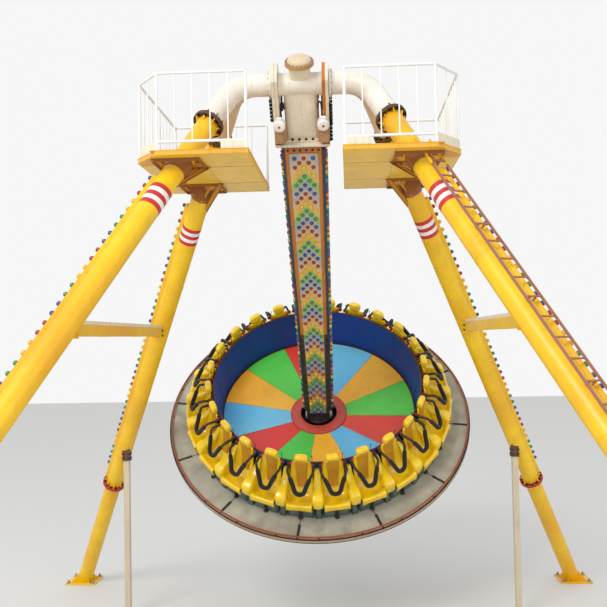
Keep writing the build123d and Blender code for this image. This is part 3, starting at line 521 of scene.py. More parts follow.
rim_black = steel_paint("black rubbing strip enamel", "14201F", rough=0.55)
seat_gel = finish("yellow gelcoat on glass fibre", "F4CE10", rough=0.2, coat=0.55, mottle=0.07, mottle_mm=180.0,
                  grain_mm=9.0, grain_depth=0.25, dirt_share=0.3, dirt="B07C08", dirt_mm=240.0)
base_paint = steel_paint("grey green skirt enamel", "5F6E6A", rough=0.5, dirt="2C3434", dirt_share=0.4)
bracket_red = steel_paint("red bracket enamel", "CE2A20", rough=0.4, dirt="4A1A14")
shaft_black = finish("blackened shaft steel", "18181A", rough=0.32, metallic=0.8, mottle=0.2)
foam_black = finish("black integral skin foam", "08080A", rough=0.75, mottle=0.25, mottle_mm=45.0, grain_mm=1.2,
                    grain_depth=0.3, sheen=0.12)
yoke_steel = steel_paint("black powder coat", "0A0A0C", rough=0.4, streak_share=0.0)
post_black = steel_paint("black post enamel", "16181A", rough=0.45, streak_share=0.0)

kept_nodes = {"cross_beams": leg_paint, "platforms": deck_ochre,
              "arm_spindle": bare_steel, "turntable_bearing": gear_black, "gondola_frame": frame_teal}
for name, material in kept_nodes.items():
    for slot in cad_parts[name].material_slots:
        slot.material = material


def bar(shape, start, end, wide, high, place=None, slot=0, up=(0, 0, 1), edge=0.0):
    """A straight rectangular bar between two points."""
    start, end = Vector(start), Vector(end)
    along = (end - start).normalized()
    side = Vector(up).cross(along).normalized()
    turn = Matrix((along, side, along.cross(side))).transposed().to_4x4()
    spot = Matrix.Translation((start + end) / 2) @ turn
    shape.block(((end - start).length, wide, high), place=place @ spot if place else spot, slot=slot, edge=edge)


def lamp_cap(radius=0.028, height=0.034):
    """A round lamp: base ring and domed cap."""
    cap = Shape()
    cap.lathe([(radius, -0.002), (radius, 0.2 * height), (0.88 * radius, 0.3 * height), (0.84 * radius, 0.5 * height),
               (0.66 * radius, 0.78 * height), (0.36 * radius, 0.95 * height), (0.08 * radius, height)], sides=10)
    return cap


def lamp_globe():
    """A round lamp on a short stem."""
    globe = Shape()
    globe.lathe([(0.024, -0.002), (0.024, 0.004), (0.017, 0.006), (0.017, 0.009), (0.025, 0.013), (0.031, 0.022),
                 (0.033, 0.034), (0.03, 0.048), (0.021, 0.059), (0.009, 0.0645), (0.002, 0.0655)], sides=12)
    return globe


# Portal

def make_legs():
    tubes, tops, joints, welds = Shape(), Shape(), Shape(), Shape()
    stripes = [Shape(), Shape()]
    length = LEG_JOINT - LEG_TOP
    bolts = []
    bands = {(-1, -1): (2.258, 2.616), (-1, 1): (2.419, 2.723), (1, 1): (2.372, 2.696), (1, -1): (2.364, 2.716)}
    for side, end in LEGS:
        place = leg_frame(side, end, LEG_TOP)
        tubes.lathe([(LEG_RADIUS, 0.01), (LEG_RADIUS, length - 0.01)], place, 48)
        tops.collar(LEG_RADIUS - 0.01, FLANGE_RADIUS, 0.001, FLANGE_THICK, place)
        joints.collar(LEG_RADIUS - 0.01, FLANGE_RADIUS, length - FLANGE_THICK, length - 0.001, place)
        welds.weld(LEG_RADIUS, FLANGE_THICK, place)
        welds.weld(LEG_RADIUS, length - FLANGE_THICK, place)
        for share in (0.36, 0.7):
            welds.weld(LEG_RADIUS, length * share, place, size=0.004)
        for i in range(8):
            rib = place @ turned(45 * i + 22.5, "Z")
            tubes.rib([(LEG_RADIUS - 0.01, FLANGE_THICK), (LEG_RADIUS + 0.055, FLANGE_THICK),
                       (LEG_RADIUS + 0.05, 0.04), (LEG_RADIUS + 0.006, 0.1), (LEG_RADIUS - 0.01, 0.1)], 0.012, rib)
            tubes.rib([(LEG_RADIUS - 0.01, length - FLANGE_THICK), (LEG_RADIUS + 0.055, length - FLANGE_THICK),
                       (LEG_RADIUS + 0.006, length - 0.14), (LEG_RADIUS - 0.01, length - 0.14)], 0.012, rib)
        bolts += circle_spots(place, 0.187, 12, 7.5, FLANGE_THICK)
        bolts += circle_spots(place, 0.187, 12, 7.5, length - FLANGE_THICK, inward=True)
        first, last = bands[(side, end)]
        step = (last - first) / 5
        for i in range(5):
            low = first + step * i - LEG_TOP
            stripes[i % 2].collar(LEG_RADIUS - 0.002, LEG_RADIUS + 0.0016, low, low + step, place, edge=0.0005)
    put(tubes.mesh("leg_tubes"), "leg_tubes", "portal", [leg_paint], ["legs"])
    put(tops.mesh("leg_top_flanges"), "leg_top_flanges", "portal", [brown_primer_and_shade])
    put(joints.mesh("leg_joint_flanges"), "leg_joint_flanges", "portal", [joint_red])
    put(welds.mesh("leg_welds", 60), "leg_welds", "portal", [leg_paint])
    for stripe, name, paint in zip(stripes, ("red", "white"), (band_red, band_white)):
        put(stripe.mesh("leg_bands_" + name), "leg_bands_" + name, "portal", [paint])
    bolt_out("leg_bolts", bolts, "portal", bolt_dark, 0.038, 0.018)


def make_feet():
    feet, joints = Shape(), Shape()
    bolts, anchors = [], []
    for side, end in LEGS:
        place = leg_frame(side, end, LEG_JOINT)
        down = (leg_point(side, end, 11) - leg_point(side, end, 10)).normalized()
        high, low = [], []
        for i in range(48):
            around = 2 * pi * i / 48
            point = place @ Vector((LEG_RADIUS * cos(around), LEG_RADIUS * sin(around), 0.01))
            high.append(point)
            low.append(point + down * ((point.z - 0.028) / -down.z))
        feet.rings([high, low])
        joints.collar(LEG_RADIUS - 0.01, FLANGE_RADIUS, 0.001, FLANGE_THICK, place)
        joints.weld(LEG_RADIUS, FLANGE_THICK, place)
        for i in range(8):
            feet.rib([(LEG_RADIUS - 0.01, FLANGE_THICK), (LEG_RADIUS + 0.055, FLANGE_THICK),
                      (LEG_RADIUS + 0.006, 0.14), (LEG_RADIUS - 0.01, 0.14)], 0.012, place @ turned(45 * i + 22.5, "Z"))
        bolts += circle_spots(place, 0.187, 12, 7.5, FLANGE_THICK)
        base = at(side * FOOT_X, end * FOOT_Y, 0)
        feet.block((0.64, 0.64, 0.03), (0, 0, 0.015), base, edge=0.004)
        lean = base @ Matrix.Rotation(atan2(end * LEG_DROP.y, side * LEG_DROP.x), 4, "Z")
        slope = LEG_DROP.xy.length / -LEG_DROP.z
        wide = LEG_RADIUS / LEG_STEEP
        feet.rib([(0.12, 0.03), (0.305, 0.03), (0.30, 0.05), (wide - 0.24 * slope + 0.01, 0.25),
                  (0.0, 0.25)], 0.016, lean)
        feet.rib([(-0.12, 0.03), (-0.31, 0.03), (-0.312, 0.12), (-0.2, 0.12)], 0.016, lean)
        for turn in (90, -90):
            feet.rib([(0.12, 0.03), (0.29, 0.03), (0.28, 0.05), (0.145, 0.2), (0.12, 0.2)], 0.016,
                     lean @ at(-0.07, 0, 0) @ turned(turn, "Z"))
        anchors += [base @ at(x, y, 0.03) for x in (-0.26, 0.26) for y in (-0.26, 0.26)]
    put(feet.mesh("leg_feet"), "leg_feet", "portal", [leg_paint], ["feet"])
    put(joints.mesh("foot_joint_flanges"), "foot_joint_flanges", "portal", [joint_red])
    bolt_out("foot_bolts", bolts, "portal", bolt_dark, 0.038, 0.018)
    stud = Shape()
    stud.block((0.09, 0.09, 0.012), (0, 0, 0.006), edge=0.003)
    stud.lathe([(0.031, 0.012), (0.031, 0.036), (0.027, 0.04)], sides=6)
    stud.lathe([(0.015, 0.03), (0.015, 0.062), (0.012, 0.066)], sides=12)
    copy_out("anchor_nuts", stud, anchors, "portal", zinc)


def make_props():
    posts, saddles, ribs = Shape(), Shape(), Shape()
    bolts = []
    height = 3.06
    level = Vector((LEG_DROP.x, LEG_DROP.y)).normalized()
    slope = -LEG_DROP.z / LEG_DROP.xy.length
    for side, end in LEGS:
        centre = leg_point(side, end, (PIVOT.z - height - LEG_RADIUS * 1.35) / LEG_STEEP)
        base = at(centre.x, centre.y, 0)
        posts.block((0.11, 0.11, height - 0.15), (0, 0, 0.02 + (height - 0.15) / 2), base, edge=0.01)
        posts.block((0.26, 0.26, 0.02), (0, 0, 0.01), base, edge=0.003)
        for turn in range(4):
            posts.rib([(0.05, 0.02), (0.12, 0.02), (0.115, 0.035), (0.056, 0.13), (0.05, 0.13)], 0.01,
                      base @ turned(90 * turn, "Z"))
        # The saddle and its plate are painted dark brown as painted shade of the post's upper end
        saddles.block((0.142, 0.142, 0.21), (0, 0, height - 0.035), base, edge=0.006)
        saddles.block((0.16, 0.16, 0.014), (0, 0, height - 0.14), base, edge=0.003)
        lean = base @ Matrix.Rotation(atan2(end * level.y, side * level.x), 4, "Z")
        ribs.rib([(0.02, height + 0.03), (0.02, height - slope * 0.26 - 0.12), (0.26, height - slope * 0.26 + 0.035)],
                 0.018, lean)
        bolts += [base @ at(x, y, 0.02) for x in (-0.095, 0.095) for y in (-0.095, 0.095)]
        for turn in range(4):
            bolts += [base @ turned(90 * turn, "Z") @ at(0.071, y, z) @ turned(90, "Y")
                      for y in (-0.045, 0.045) for z in (height - 0.1, height - 0.02)]
    put(posts.mesh("prop_posts"), "prop_posts", "portal", [prop_paint], ["props"])
    put(saddles.mesh("prop_saddles"), "prop_saddles", "portal", [brown_primer_and_shade])
    put(ribs.mesh("prop_ribs"), "prop_ribs", "portal", [leg_paint])
    bolt_out("prop_bolts", bolts, "portal", bolt_dark, 0.026, 0.012)


def make_beam_details():
    strips, collars = Shape(), Shape()
    bolts = []
    along = 3.47 / LEG_STEEP
    for side in (-1, 1):
        middle = leg_point(side, 1, along)
        reach = middle.y - 0.2
        strips.block((0.1525, 2 * reach, 0.046), (middle.x, 0, 5.33 + 0.0735), edge=0.002)
        for y in (-0.9, 0.9):
            collars.block((0.156, 0.012, 0.196), (middle.x, y, 5.33), edge=0.002)
        for end in (-1, 1):
            collars.block((0.2, 0.014, 0.24), (middle.x, end * (reach - 0.02), 5.33), edge=0.002)
            bolts += [at(middle.x + x, end * (reach - 0.027), 5.33 + z) @ turned(end * 90, "X")
                      for x in (-0.086, 0.086) for z in (-0.08, 0, 0.08)]
    put(strips.mesh("beam_strips"), "beam_strips", "portal", [beam_strip])
    put(collars.mesh("beam_collars"), "beam_collars", "portal", [leg_paint])
    bolt_out("beam_bolts", bolts, "portal", bolt_dark, 0.026, 0.012)


def make_crown():
    pipes = [Shape(), Shape()]
    flanges, axles, faces = Shape(), Shape(), Shape()
    tops, rounds = [], []
    for side in (-1, 1):
        apex, stop = PIVOT + Vector((side * APEX_X, 0, 0)), PIVOT + Vector((side * 0.409, 0, 0))
        for end in (-1, 1):
            path = arc_path(leg_point(side, end, LEG_TOP), apex, stop, 0.42, 16)[:-1]
            pipes[(end + 1) // 2].tube(path, 0.1625, sides=40)
            place = leg_frame(side, end, LEG_TOP)
            flanges.collar(0.15, FLANGE_RADIUS, -FLANGE_THICK, -0.001, place)
            flanges.weld(0.1625, -FLANGE_THICK, place)
            for i in range(8):
                flanges.rib([(0.155, -FLANGE_THICK), (0.204, -FLANGE_THICK), (0.2, -0.045), (0.17, -0.12),
                             (0.155, -0.12)], 0.012, place @ turned(45 * i + 22.5, "Z"))
            tops += circle_spots(place, 0.19, 12, 7.5, -FLANGE_THICK, inward=True)
        turn = at(*PIVOT) @ turned(90 * side, "Y")
        faces.lathe([(0.1635, 0.415), (0.1635, 0.69)], turn, 40)
        faces.weld(0.1635, 0.69, turn, 40)
        faces.collar(0.1, 0.205, 0.409, 0.441, turn)
        faces.weld(0.1635, 0.441, turn, 40)
        axles.lathe([(0.1, 0.215), (0.1, 0.412)], turn, 40)
        rounds += circle_spots(turn, 0.184, 12, 15, 0.441)
    # Front pipes in the copy whitened as painted light, rear pipes in the copy darkened as painted shade
    for pipe, name, paint in zip(pipes, ("front", "rear"), (crown_lit_white, crown_shaded_cream)):
        put(pipe.mesh("crown_pipes_" + name), "crown_pipes_" + name, "portal", [paint],
            ["crown"] if name == "front" else ())
    put(faces.mesh("crown_necks"), "crown_necks", "portal", [crown_lit_white])
    put(flanges.mesh("crown_flanges"), "crown_flanges", "portal", [brown_primer_and_shade])
    put(axles.mesh("crown_axles"), "crown_axles", "portal", [bare_steel])
    bolt_out("crown_flange_bolts", tops, "portal", bolt_dark, 0.038, 0.018)
    bolt_out("crown_neck_bolts", rounds, "portal", zinc, 0.026, 0.012)


LEVEL = 7.581
INNER_X, OUTER_X, HALF_Y = 0.6, 2.125, 1.47
HOLE_X, HOLE_Y = (1.266, 1.876), (0.622, 1.277)


def deck_outline(side):
    return [(side * INNER_X, -HALF_Y), (side * 1.78, -HALF_Y), (side * OUTER_X, -0.98), (side * OUTER_X, HALF_Y),
            (side * INNER_X, HALF_Y)]


def make_platform_details():
    sheets, soffits, seams, frames, edges, kicks, struts, collars = (Shape() for _ in range(8))
    fixings = []
    for side in (-1, 1):
        corners = deck_outline(side)
        for (ax, ay), (bx, by) in zip(corners, corners[1:] + corners[:1]):
            for z in (LEVEL - 0.003, LEVEL - 0.058):
                bar(edges, (ax, ay, z), (bx, by, z), 0.014, 0.006)
        columns = [(0.607, 1.262, [-1.463, -0.98, -0.627, 0.0, 0.627, 1.0, 1.463]),
                   (1.27, 1.872, [-1.463, -1.281]), (1.27, 1.872, [-0.618, 0.0, 0.618]),
                   (1.27, 1.872, [1.281, 1.463]), (1.88, 2.118, [-0.84, -0.3, 0.3, 0.86, 1.463])]
        for near, far, rows in columns:
            for low, high in zip(rows, rows[1:]):
                sheets.block((far - near - 0.006, high - low - 0.006, 0.0045),
                             (side * (near + far) / 2, (low + high) / 2, LEVEL - 0.001), edge=0.0012)
                fixings += [at(side * x, y, LEVEL + 0.001) for x in (near + 0.03, far - 0.03)
                            for y in (low + 0.03, high - 0.03)]
        under = [(0.607, 1.258, -1.462, -0.632), (0.607, 1.258, -0.618, 0.618), (0.607, 1.258, 0.632, 1.462),
                 (1.264, 1.878, -1.462, -1.286), (1.264, 1.878, -0.616, 0.616), (1.264, 1.878, 1.286, 1.462),
                 (1.886, 2.118, -0.83, 1.462)]
        for near, far, low, high in under:
            soffits.block((far - near, high - low, 0.005), (side * (near + far) / 2, (low + high) / 2,
                                                            LEVEL - 0.0625), edge=0.0015)
        for y in (-0.625, 0.625):
            seams.block((0.66, 0.02, 0.005), (side * 0.932, y, LEVEL - 0.0635))
        for end in (-1, 1):
            near, far = HOLE_Y
            for z, tall in ((LEVEL + 0.02, 0.05), (LEVEL - 0.085, 0.05)):
                for y in (near - 0.004, far + 0.004):
                    bar(frames, (side * (HOLE_X[0] - 0.01), end * y, z), (side * (HOLE_X[1] + 0.01), end * y, z),
                        0.008, tall)
                for x in (HOLE_X[0] - 0.004, HOLE_X[1] + 0.004):
                    bar(frames, (side * x, end * near, z), (side * x, end * far, z), 0.008, tall)
            inner, low = Vector((side * HOLE_X[0], end * near, LEVEL - 0.075)), (PIVOT.z - 7.13) / LEG_STEEP
            leg = leg_point(side, end, low)
            through = (PIVOT.z - LEVEL + 0.06) / LEG_STEEP
            # A brown sleeve round each leg just under the platform: painted shadow of the platform on the leg
            collars.collar(LEG_RADIUS + 0.001, LEG_RADIUS + 0.014, -0.03, 0.2, leg_frame(side, end, through), 48)
            bar(struts, inner, leg + Vector((-side * 0.1, -end * 0.02, 0)), 0.05, 0.05, edge=0.004)
            bar(frames, inner + Vector((-side * 0.028, 0, 0)), leg + Vector((-side * 0.128, -end * 0.02, 0)), 0.06, 0.008)
            bar(struts, (side * 1.4, end * near, LEVEL - 0.09), leg + Vector((0, -end * 0.1, 0.04)), 0.04, 0.04,
                edge=0.004)
            frames.plate([(0.0, 0.0), (0.3, 0.0), (0.06, -0.24), (0.0, -0.24)], -0.008, 0.008,
                         at(side * (HOLE_X[1] - 0.3), end * (near + 0.12), LEVEL - 0.065) @ turned(90, "X")
                         @ turned(0 if side > 0 else 180, "Y") @ at(-0.05, 0, 0))
        for a, b in (((0.63, -1.46), (0.95, -1.46)), ((1.79, -1.45), (2.1, -1.0)), ((0.63, 1.46), (0.95, 1.46))):
            bar(kicks, (side * a[0], a[1], LEVEL + 0.065), (side * b[0], b[1], LEVEL + 0.065), 0.004, 0.12)
    put(sheets.mesh("floor_sheets"), "floor_sheets", "portal", [deck_ochre])
    # Under sheets in the yellow brightened as painted bounce light
    put(soffits.mesh("floor_soffits"), "floor_soffits", "portal", [soffit_painted_bounce_light])
    put(seams.mesh("floor_seam_strips"), "floor_seam_strips", "portal", [gear_brown])
    put(frames.mesh("floor_frames"), "floor_frames", "portal", [channel_brown_and_leg_shadow])
    put(edges.mesh("floor_edges"), "floor_edges", "portal", [leg_paint])
    put(struts.mesh("floor_struts"), "floor_struts", "portal", [strut_ochre_dirt_and_shade], ["platform_brackets"])
    put(kicks.mesh("kick_plates"), "kick_plates", "portal", [beam_strip])
    put(collars.mesh("leg_collars"), "leg_collars", "portal", [channel_brown_and_leg_shadow])
    head = Shape()
    head.lathe([(0.009, -0.001), (0.008, 0.003), (0.003, 0.004)], sides=8)
    copy_out("sheet_screws", head, fixings, "portal", zinc)


def make_railings():
    tubes, feet = Shape(), Shape()
    uprights, bolts = [], []
    inset = 0.024
    for side in (-1, 1):
        corners = [Vector((side * (INNER_X + inset), -HALF_Y + inset, LEVEL)),
                   Vector((side * (1.78 - inset / 2), -HALF_Y + inset, LEVEL)),
                   Vector((side * (OUTER_X - inset), -0.98 + inset / 2, LEVEL)),
                   Vector((side * (OUTER_X - inset), HALF_Y - inset, LEVEL)),
                   Vector((side * (INNER_X + inset), HALF_Y - inset, LEVEL))]
        for level in (0.994, 0.11):
            path = [corners[0]]
            for a, b, c in zip(corners, corners[1:], corners[2:]):
                path += arc_path(a, b, c, 0.06, 6)[1:-1]
            path.append(corners[-1])
            tubes.tube([p + Vector((0, 0, level)) for p in path], 0.0185, sides=14)
        posts = list(corners)
        for a, b in zip(corners, corners[1:]):
            length = (b - a).length
            if length > 2:
                posts.append((a + b) / 2)
            count = max(2, round(length / 0.24))
            uprights += [at(*(a + (b - a) * i / count)) for i in range(1, count)]
        for post in posts:
            tubes.tube([post + Vector((0, 0, 0.004)), post + Vector((0, 0, 0.99))], 0.019, sides=14)
            feet.block((0.046, 0.046, 0.008), (0, 0, 0.006), at(*post), edge=0.002)
            tubes.weld(0.019, 0.012, at(*post), 14, size=0.004)
    put(tubes.mesh("rail_tubes"), "rail_tubes", "portal", [rail_white], ["railings"])
    put(feet.mesh("rail_feet"), "rail_feet", "portal", [rail_white])
    upright = Shape()
    upright.tube([(0, 0, 0.11), (0, 0, 0.985)], 0.009, sides=8)
    copy_out("rail_uprights", upright, uprights, "portal", rail_white)


def make_ladder():
    place = leg_frame(1, -1, 1.219 / LEG_STEEP)
    length = (LEVEL - 2.7) / LEG_STEEP
    lower, upper = Shape(), Shape()
    for across in (-1, 1):
        bar(upper, (0.215, across * 0.12, 0.0), (0.215, across * 0.12, 0.52), 0.016, 0.034, place, up=(1, 0, 0),
            edge=0.003)
        bar(lower, (0.215, across * 0.12, 0.52), (0.215, across * 0.12, length), 0.016, 0.034, place, up=(1, 0, 0),
            edge=0.003)
        for i in range(1, int(length // 0.3), 4):
            bar(lower, (0.13, across * 0.045, (i + 0.5) * 0.3), (0.2, across * 0.045, (i + 0.5) * 0.3), 0.014, 0.024,
                place, edge=0.002)
    put(upper.mesh("ladder_top"), "ladder_top", "portal", [leg_paint])
    put(lower.mesh("ladder_sides"), "ladder_sides", "portal", [ladder_paint], ["ladder"])
    rung = Shape()
    rung.tube([(0, -0.119, 0), (0, 0.119, 0)], 0.012, sides=12)
    for y in (-0.108, 0.108):
        rung.weld(0.012, 0, at(0, y, 0) @ turned(90, "X"), 12, size=0.003)
    copy_out("ladder_rungs", rung, [place @ at(0.215, 0, (i + 0.5) * 0.3) for i in range(int(length // 0.3))],
             "portal", ladder_paint)


def make_lamp_rails():
    rails, slots = Shape(), []
    lamps = {name: [] for name in LAMP_CODES}
    names = ["blue", "red", "yellow", "green"]
    for side, end in LEGS:
        start, stop = 2.101, 8.41
        place = leg_frame(side, end, 0, (side, 0, 0.45))
        rails.block((0.052, 0.088, stop - start), (LEG_RADIUS + 0.012, 0, (start + stop) / 2), place, edge=0.003)
        for y in (-0.0435, 0.0435):
            rails.block((0.012, 0.003, stop - start), (LEG_RADIUS + 0.042, y, (start + stop) / 2), place)
        for i in range(int((stop - start - 0.1) / 0.148)):
            along = 2.14 + 0.148 * i
            lamps[names[(i + 1) // 2 % 4]].append(place @ at(LEG_RADIUS + 0.037, 0, along) @ turned(90, "Y"))
            if i % 6 == 5:
                slots.append(place @ at(LEG_RADIUS - 0.006, 0, along + 0.074))
    put(rails.mesh("lamp_channels"), "lamp_channels", "portal", [leg_paint], ["lamp_rails"])
    clip = Shape()
    clip.block((0.075, 0.112, 0.03), (0, 0, 0), edge=0.003)
    copy_out("channel_clips", clip, slots, "portal", leg_paint)
    for name, spots in lamps.items():
        copy_out("leg_lamps_" + name, lamp_globe(), spots, "portal", lamp_caps[name])


# Swing hub

def rounded_box(x, y, z, power=0.45, sides=48):
    """A level ring of points, between a rectangle and an ellipse."""
    return [(x * abs(cos(a)) ** power * (1 if cos(a) > 0 else -1), y * abs(sin(a)) ** power
             * (1 if sin(a) > 0 else -1), z) for a in [2 * pi * (i + 0.5) / sides for i in range(sides)]]


def make_hub():
    body, drum, cap, flange, hoses = Shape(), Shape(), Shape(), Shape(), Shape()
    neck = [(0.254, 0.155, -0.805), (0.252, 0.152, -0.5), (0.25, 0.146, -0.2), (0.235, 0.125, -0.06), (0.15, 0.12, 0.1),
            (0.15, 0.12, 0.24)]
    body.rings([rounded_box(*level) for level in neck]
               + [rounded_box(0.16, 0.14, 0.27, 0.8), rounded_box(0.185, 0.185, 0.3, 1.0)], SWING)
    body.block((0.58, 0.41, 0.028), (0, 0, -0.816), SWING, edge=0.004)
    body.block((0.806, 0.56, 0.045), (0, 0, -0.8525), SWING, edge=0.006)
    for reach in (-1, 1):
        body.tube([(0, reach * 0.147, -0.19), (0, reach * 0.154, -0.8)], 0.006, SWING, 8)
        for side in (-1, 1):
            body.rib([(0.2, -0.805), (0.28, -0.805), (0.275, -0.78), (0.25, -0.68), (0.2, -0.68)], 0.012,
                     SWING @ at(0, reach * 0.09, 0) @ turned(0 if side > 0 else 180, "Z"))
            hoses.tube(smooth_path([(side * 0.298, reach * 0.15, -0.46), (side * 0.296, reach * 0.17, -0.3),
                                    (side * 0.288, reach * 0.175, -0.215), (side * 0.266, reach * 0.175, -0.19),
                                    (side * 0.25, reach * 0.17, -0.225), (side * 0.244, reach * 0.15, -0.31)], 4),
                       0.013, SWING, 12)
            hoses.block((0.03, 0.03, 0.09), (side * 0.298, reach * 0.15, -0.45), SWING, edge=0.004)
    across = SWING @ turned(90, "Y")
    drum.lathe([(0.13, -0.3145), (0.157, -0.3145), (0.161, -0.31), (0.161, 0.31), (0.157, 0.3145),
                (0.13, 0.3145)], across, 64)
    for x in (-0.3, 0.3):
        drum.collar(0.15, 0.172, x - 0.012, x + 0.012, across, 64)
    drum.weld(0.161, -0.22, across, 64, size=0.003)
    drum.weld(0.161, 0.22, across, 64, size=0.003)
    flange.collar(0.15, 0.208, 0.3, 0.334, SWING, 64)
    flange.collar(0.15, 0.204, 0.3345, 0.352, SWING, 64)
    cap.lathe([(0.172, 0.35), (0.17, 0.362), (0.163, 0.381), (0.149, 0.398), (0.124, 0.411), (0.09, 0.419),
               (0.045, 0.4225), (0.012, 0.424)], SWING, 64)
    cap.lathe([(0.028, 0.415), (0.028, 0.4245), (0.02, 0.4255)], SWING, 16)
    put(body.mesh("hub_casting"), "hub_casting", "pendulum", [hub_paint], ["swing_hub"])
    put(drum.mesh("hub_drum"), "hub_drum", "pendulum", [drum_paint])
    put(hoses.mesh("hub_hoses"), "hub_hoses", "pendulum", [post_black])
    # The dome takes the pipes' cream darkened as painted shade
    put(cap.mesh("hub_dome"), "hub_dome", "pendulum", [crown_shaded_cream], ["hub_cap"])
    put(flange.mesh("hub_cap_flange"), "hub_cap_flange", "pendulum", [gearbox_tan])
    bolt_out("hub_ring_bolts", circle_spots(SWING, 0.19, 20, 9, 0.352), "pendulum", zinc, 0.022, 0.01)
    foot = [SWING @ at(-0.25 + 0.1 * i, y, -0.802) for i in range(6) for y in (-0.182, 0.182)]
    foot += [SWING @ at(x, y, -0.802) for x in (-0.272, 0.272) for y in (-0.04, 0.04)]
    bolt_out("hub_foot_bolts", foot, "pendulum", bolt_dark, 0.034, 0.02)
    plate_bolts = [SWING @ at(x, y, -0.83) for x in (-0.37, 0.37) for y in (-0.25, -0.12, 0.12, 0.25)]
    bolt_out("head_plate_bolts", plate_bolts, "pendulum", bolt_dark, 0.034, 0.017)


def cheek_outline(inset=0.0):
    radius, half = 0.3 - inset, 0.25 - inset
    shoulder = asin(half / radius)
    arc = [(radius * sin(shoulder * (1 - i / 9)), radius * cos(shoulder * (1 - i / 9))) for i in range(19)]
    return [(-half, -0.83)] + [(half, -0.83)] + arc


def make_cheeks():
    plates, liners, strips = Shape(), Shape(), Shape()
    teeth, bolts = [], []
    for side in (-1, 1):
        turn = SWING @ Matrix(((0, 0, 1, 0), (1, 0, 0, 0), (0, 1, 0, 0), (0, 0, 0, 1)))
        spans = [(0.315, 0.358, 0.006, liners if side > 0 else plates), (0.36, 0.403, 0.0, plates)]
        for near, far, inset, shape in spans:
            low, high = sorted((side * near, side * far))
            shape.plate(cheek_outline(inset), low, high, turn)
        for reach in (-1, 1):
            count, first = (10, -0.2) if side > 0 else (6, -0.1)
            strips.block((0.014, 0.05, 0.06 * count), (side * 0.41, reach * 0.222, first - 0.03 * count), SWING,
                         edge=0.002)
            for i in range(count):
                teeth.append(SWING @ at(side * 0.427, reach * 0.238, first - 0.03 - 0.06 * i))
        bolts += [SWING @ at(side * 0.403, y, z) @ turned(90 * side, "Y") for y in (-0.15, 0, 0.15)
                  for z in (-0.35, -0.52, -0.69)]
    put(plates.mesh("cheek_plates"), "cheek_plates", "pendulum", [hub_paint], ["hub_cheeks"])
    put(liners.mesh("cheek_liner"), "cheek_liner", "pendulum", [arm_orange])
    put(strips.mesh("cheek_strips"), "cheek_strips", "pendulum", [gear_black])
    tooth = Shape()
    tooth.plate([(-0.02, -0.02), (0.012, -0.016), (0.02, -0.008), (0.02, 0.008), (0.012, 0.016), (-0.02, 0.02)],
                -0.018, 0.018)
    copy_out("cheek_teeth", tooth, teeth, "pendulum", gear_black)
    bolt_out("cheek_bolts", bolts, "pendulum", zinc, 0.034, 0.014)


def make_motors():
    housings, cowls, boxes, dark = Shape(), Shape(), Shape(), Shape()
    fins, bolts = [], []
    for side in (-1, 1):
        place = SWING @ at(side * 0.318, -0.256, -0.47) @ turned(90, "X")
        housings.lathe([(0.088, 0.0), (0.088, 0.014), (0.078, 0.016), (0.074, 0.02), (0.074, 0.092),
                        (0.08, 0.094), (0.086, 0.1)], place, 40)
        cowls.lathe([(0.0885, 0.09), (0.089, 0.096), (0.089, 0.118), (0.084, 0.128), (0.072, 0.136),
                     (0.05, 0.1395), (0.03, 0.14)], place, 40)
        fins += [place @ turned(360 / 28 * i, "Z") for i in range(28)]
        dark.lathe([(0.018, 0.137), (0.018, 0.1415), (0.012, 0.143)], place, 16)
        housings.block((0.075, 0.05, 0.06), (0, 0.086, 0.055), place, edge=0.006)
        x = side * 0.27
        boxes.block((0.075, 0.33, 0.21), (x, -0.165, -0.67), SWING, edge=0.014)
        boxes.block((0.12, 0.1, 0.19), (side * 0.33, -0.302, -0.67), SWING, edge=0.014)
        boxes.block((0.13, 0.012, 0.15), (side * 0.33, -0.356, -0.68), SWING, edge=0.004)
        dark.block((0.09, 0.05, 0.07), (side * 0.36, -0.255, -0.797), SWING, edge=0.01)
        bolts += [SWING @ at(side * 0.33 + dx, -0.362, -0.68 + dz) @ turned(90, "X") for dx in (-0.05, 0.05)
                  for dz in (-0.06, 0.06)]
        dark.plate([(0.0, 0.0), (0.05, -0.03), (0.05, -0.17), (0.0, -0.2)], -0.018, 0.018,
                   SWING @ at(side * 0.39, -0.27, -0.56) @ turned(90, "X") @ turned(180 if side > 0 else 0, "Y"))
    put(boxes.mesh("gearboxes"), "gearboxes", "pendulum", [gearbox_tan])
    put(housings.mesh("motor_housings"), "motor_housings", "pendulum", [motor_white], ["drive_motors"])
    put(cowls.mesh("motor_cowls"), "motor_cowls", "pendulum", [motor_white])
    put(dark.mesh("drive_details"), "drive_details", "pendulum", [gear_brown])
    fin = Shape()
    fin.block((0.014, 0.003, 0.07), (0.08, 0, 0.056))
    copy_out("motor_fins", fin, fins, "pendulum", motor_white)
    bolt_out("gearbox_bolts", bolts, "pendulum", zinc, 0.02, 0.009)


# Arm

def arm_half(along):
    """Half of the arm's width and depth at a distance below the pivot."""
    share = (along - ARM_START) / (ARM_END - ARM_START)
    return 0.27 - 0.065 * share, 0.22 - 0.045 * share


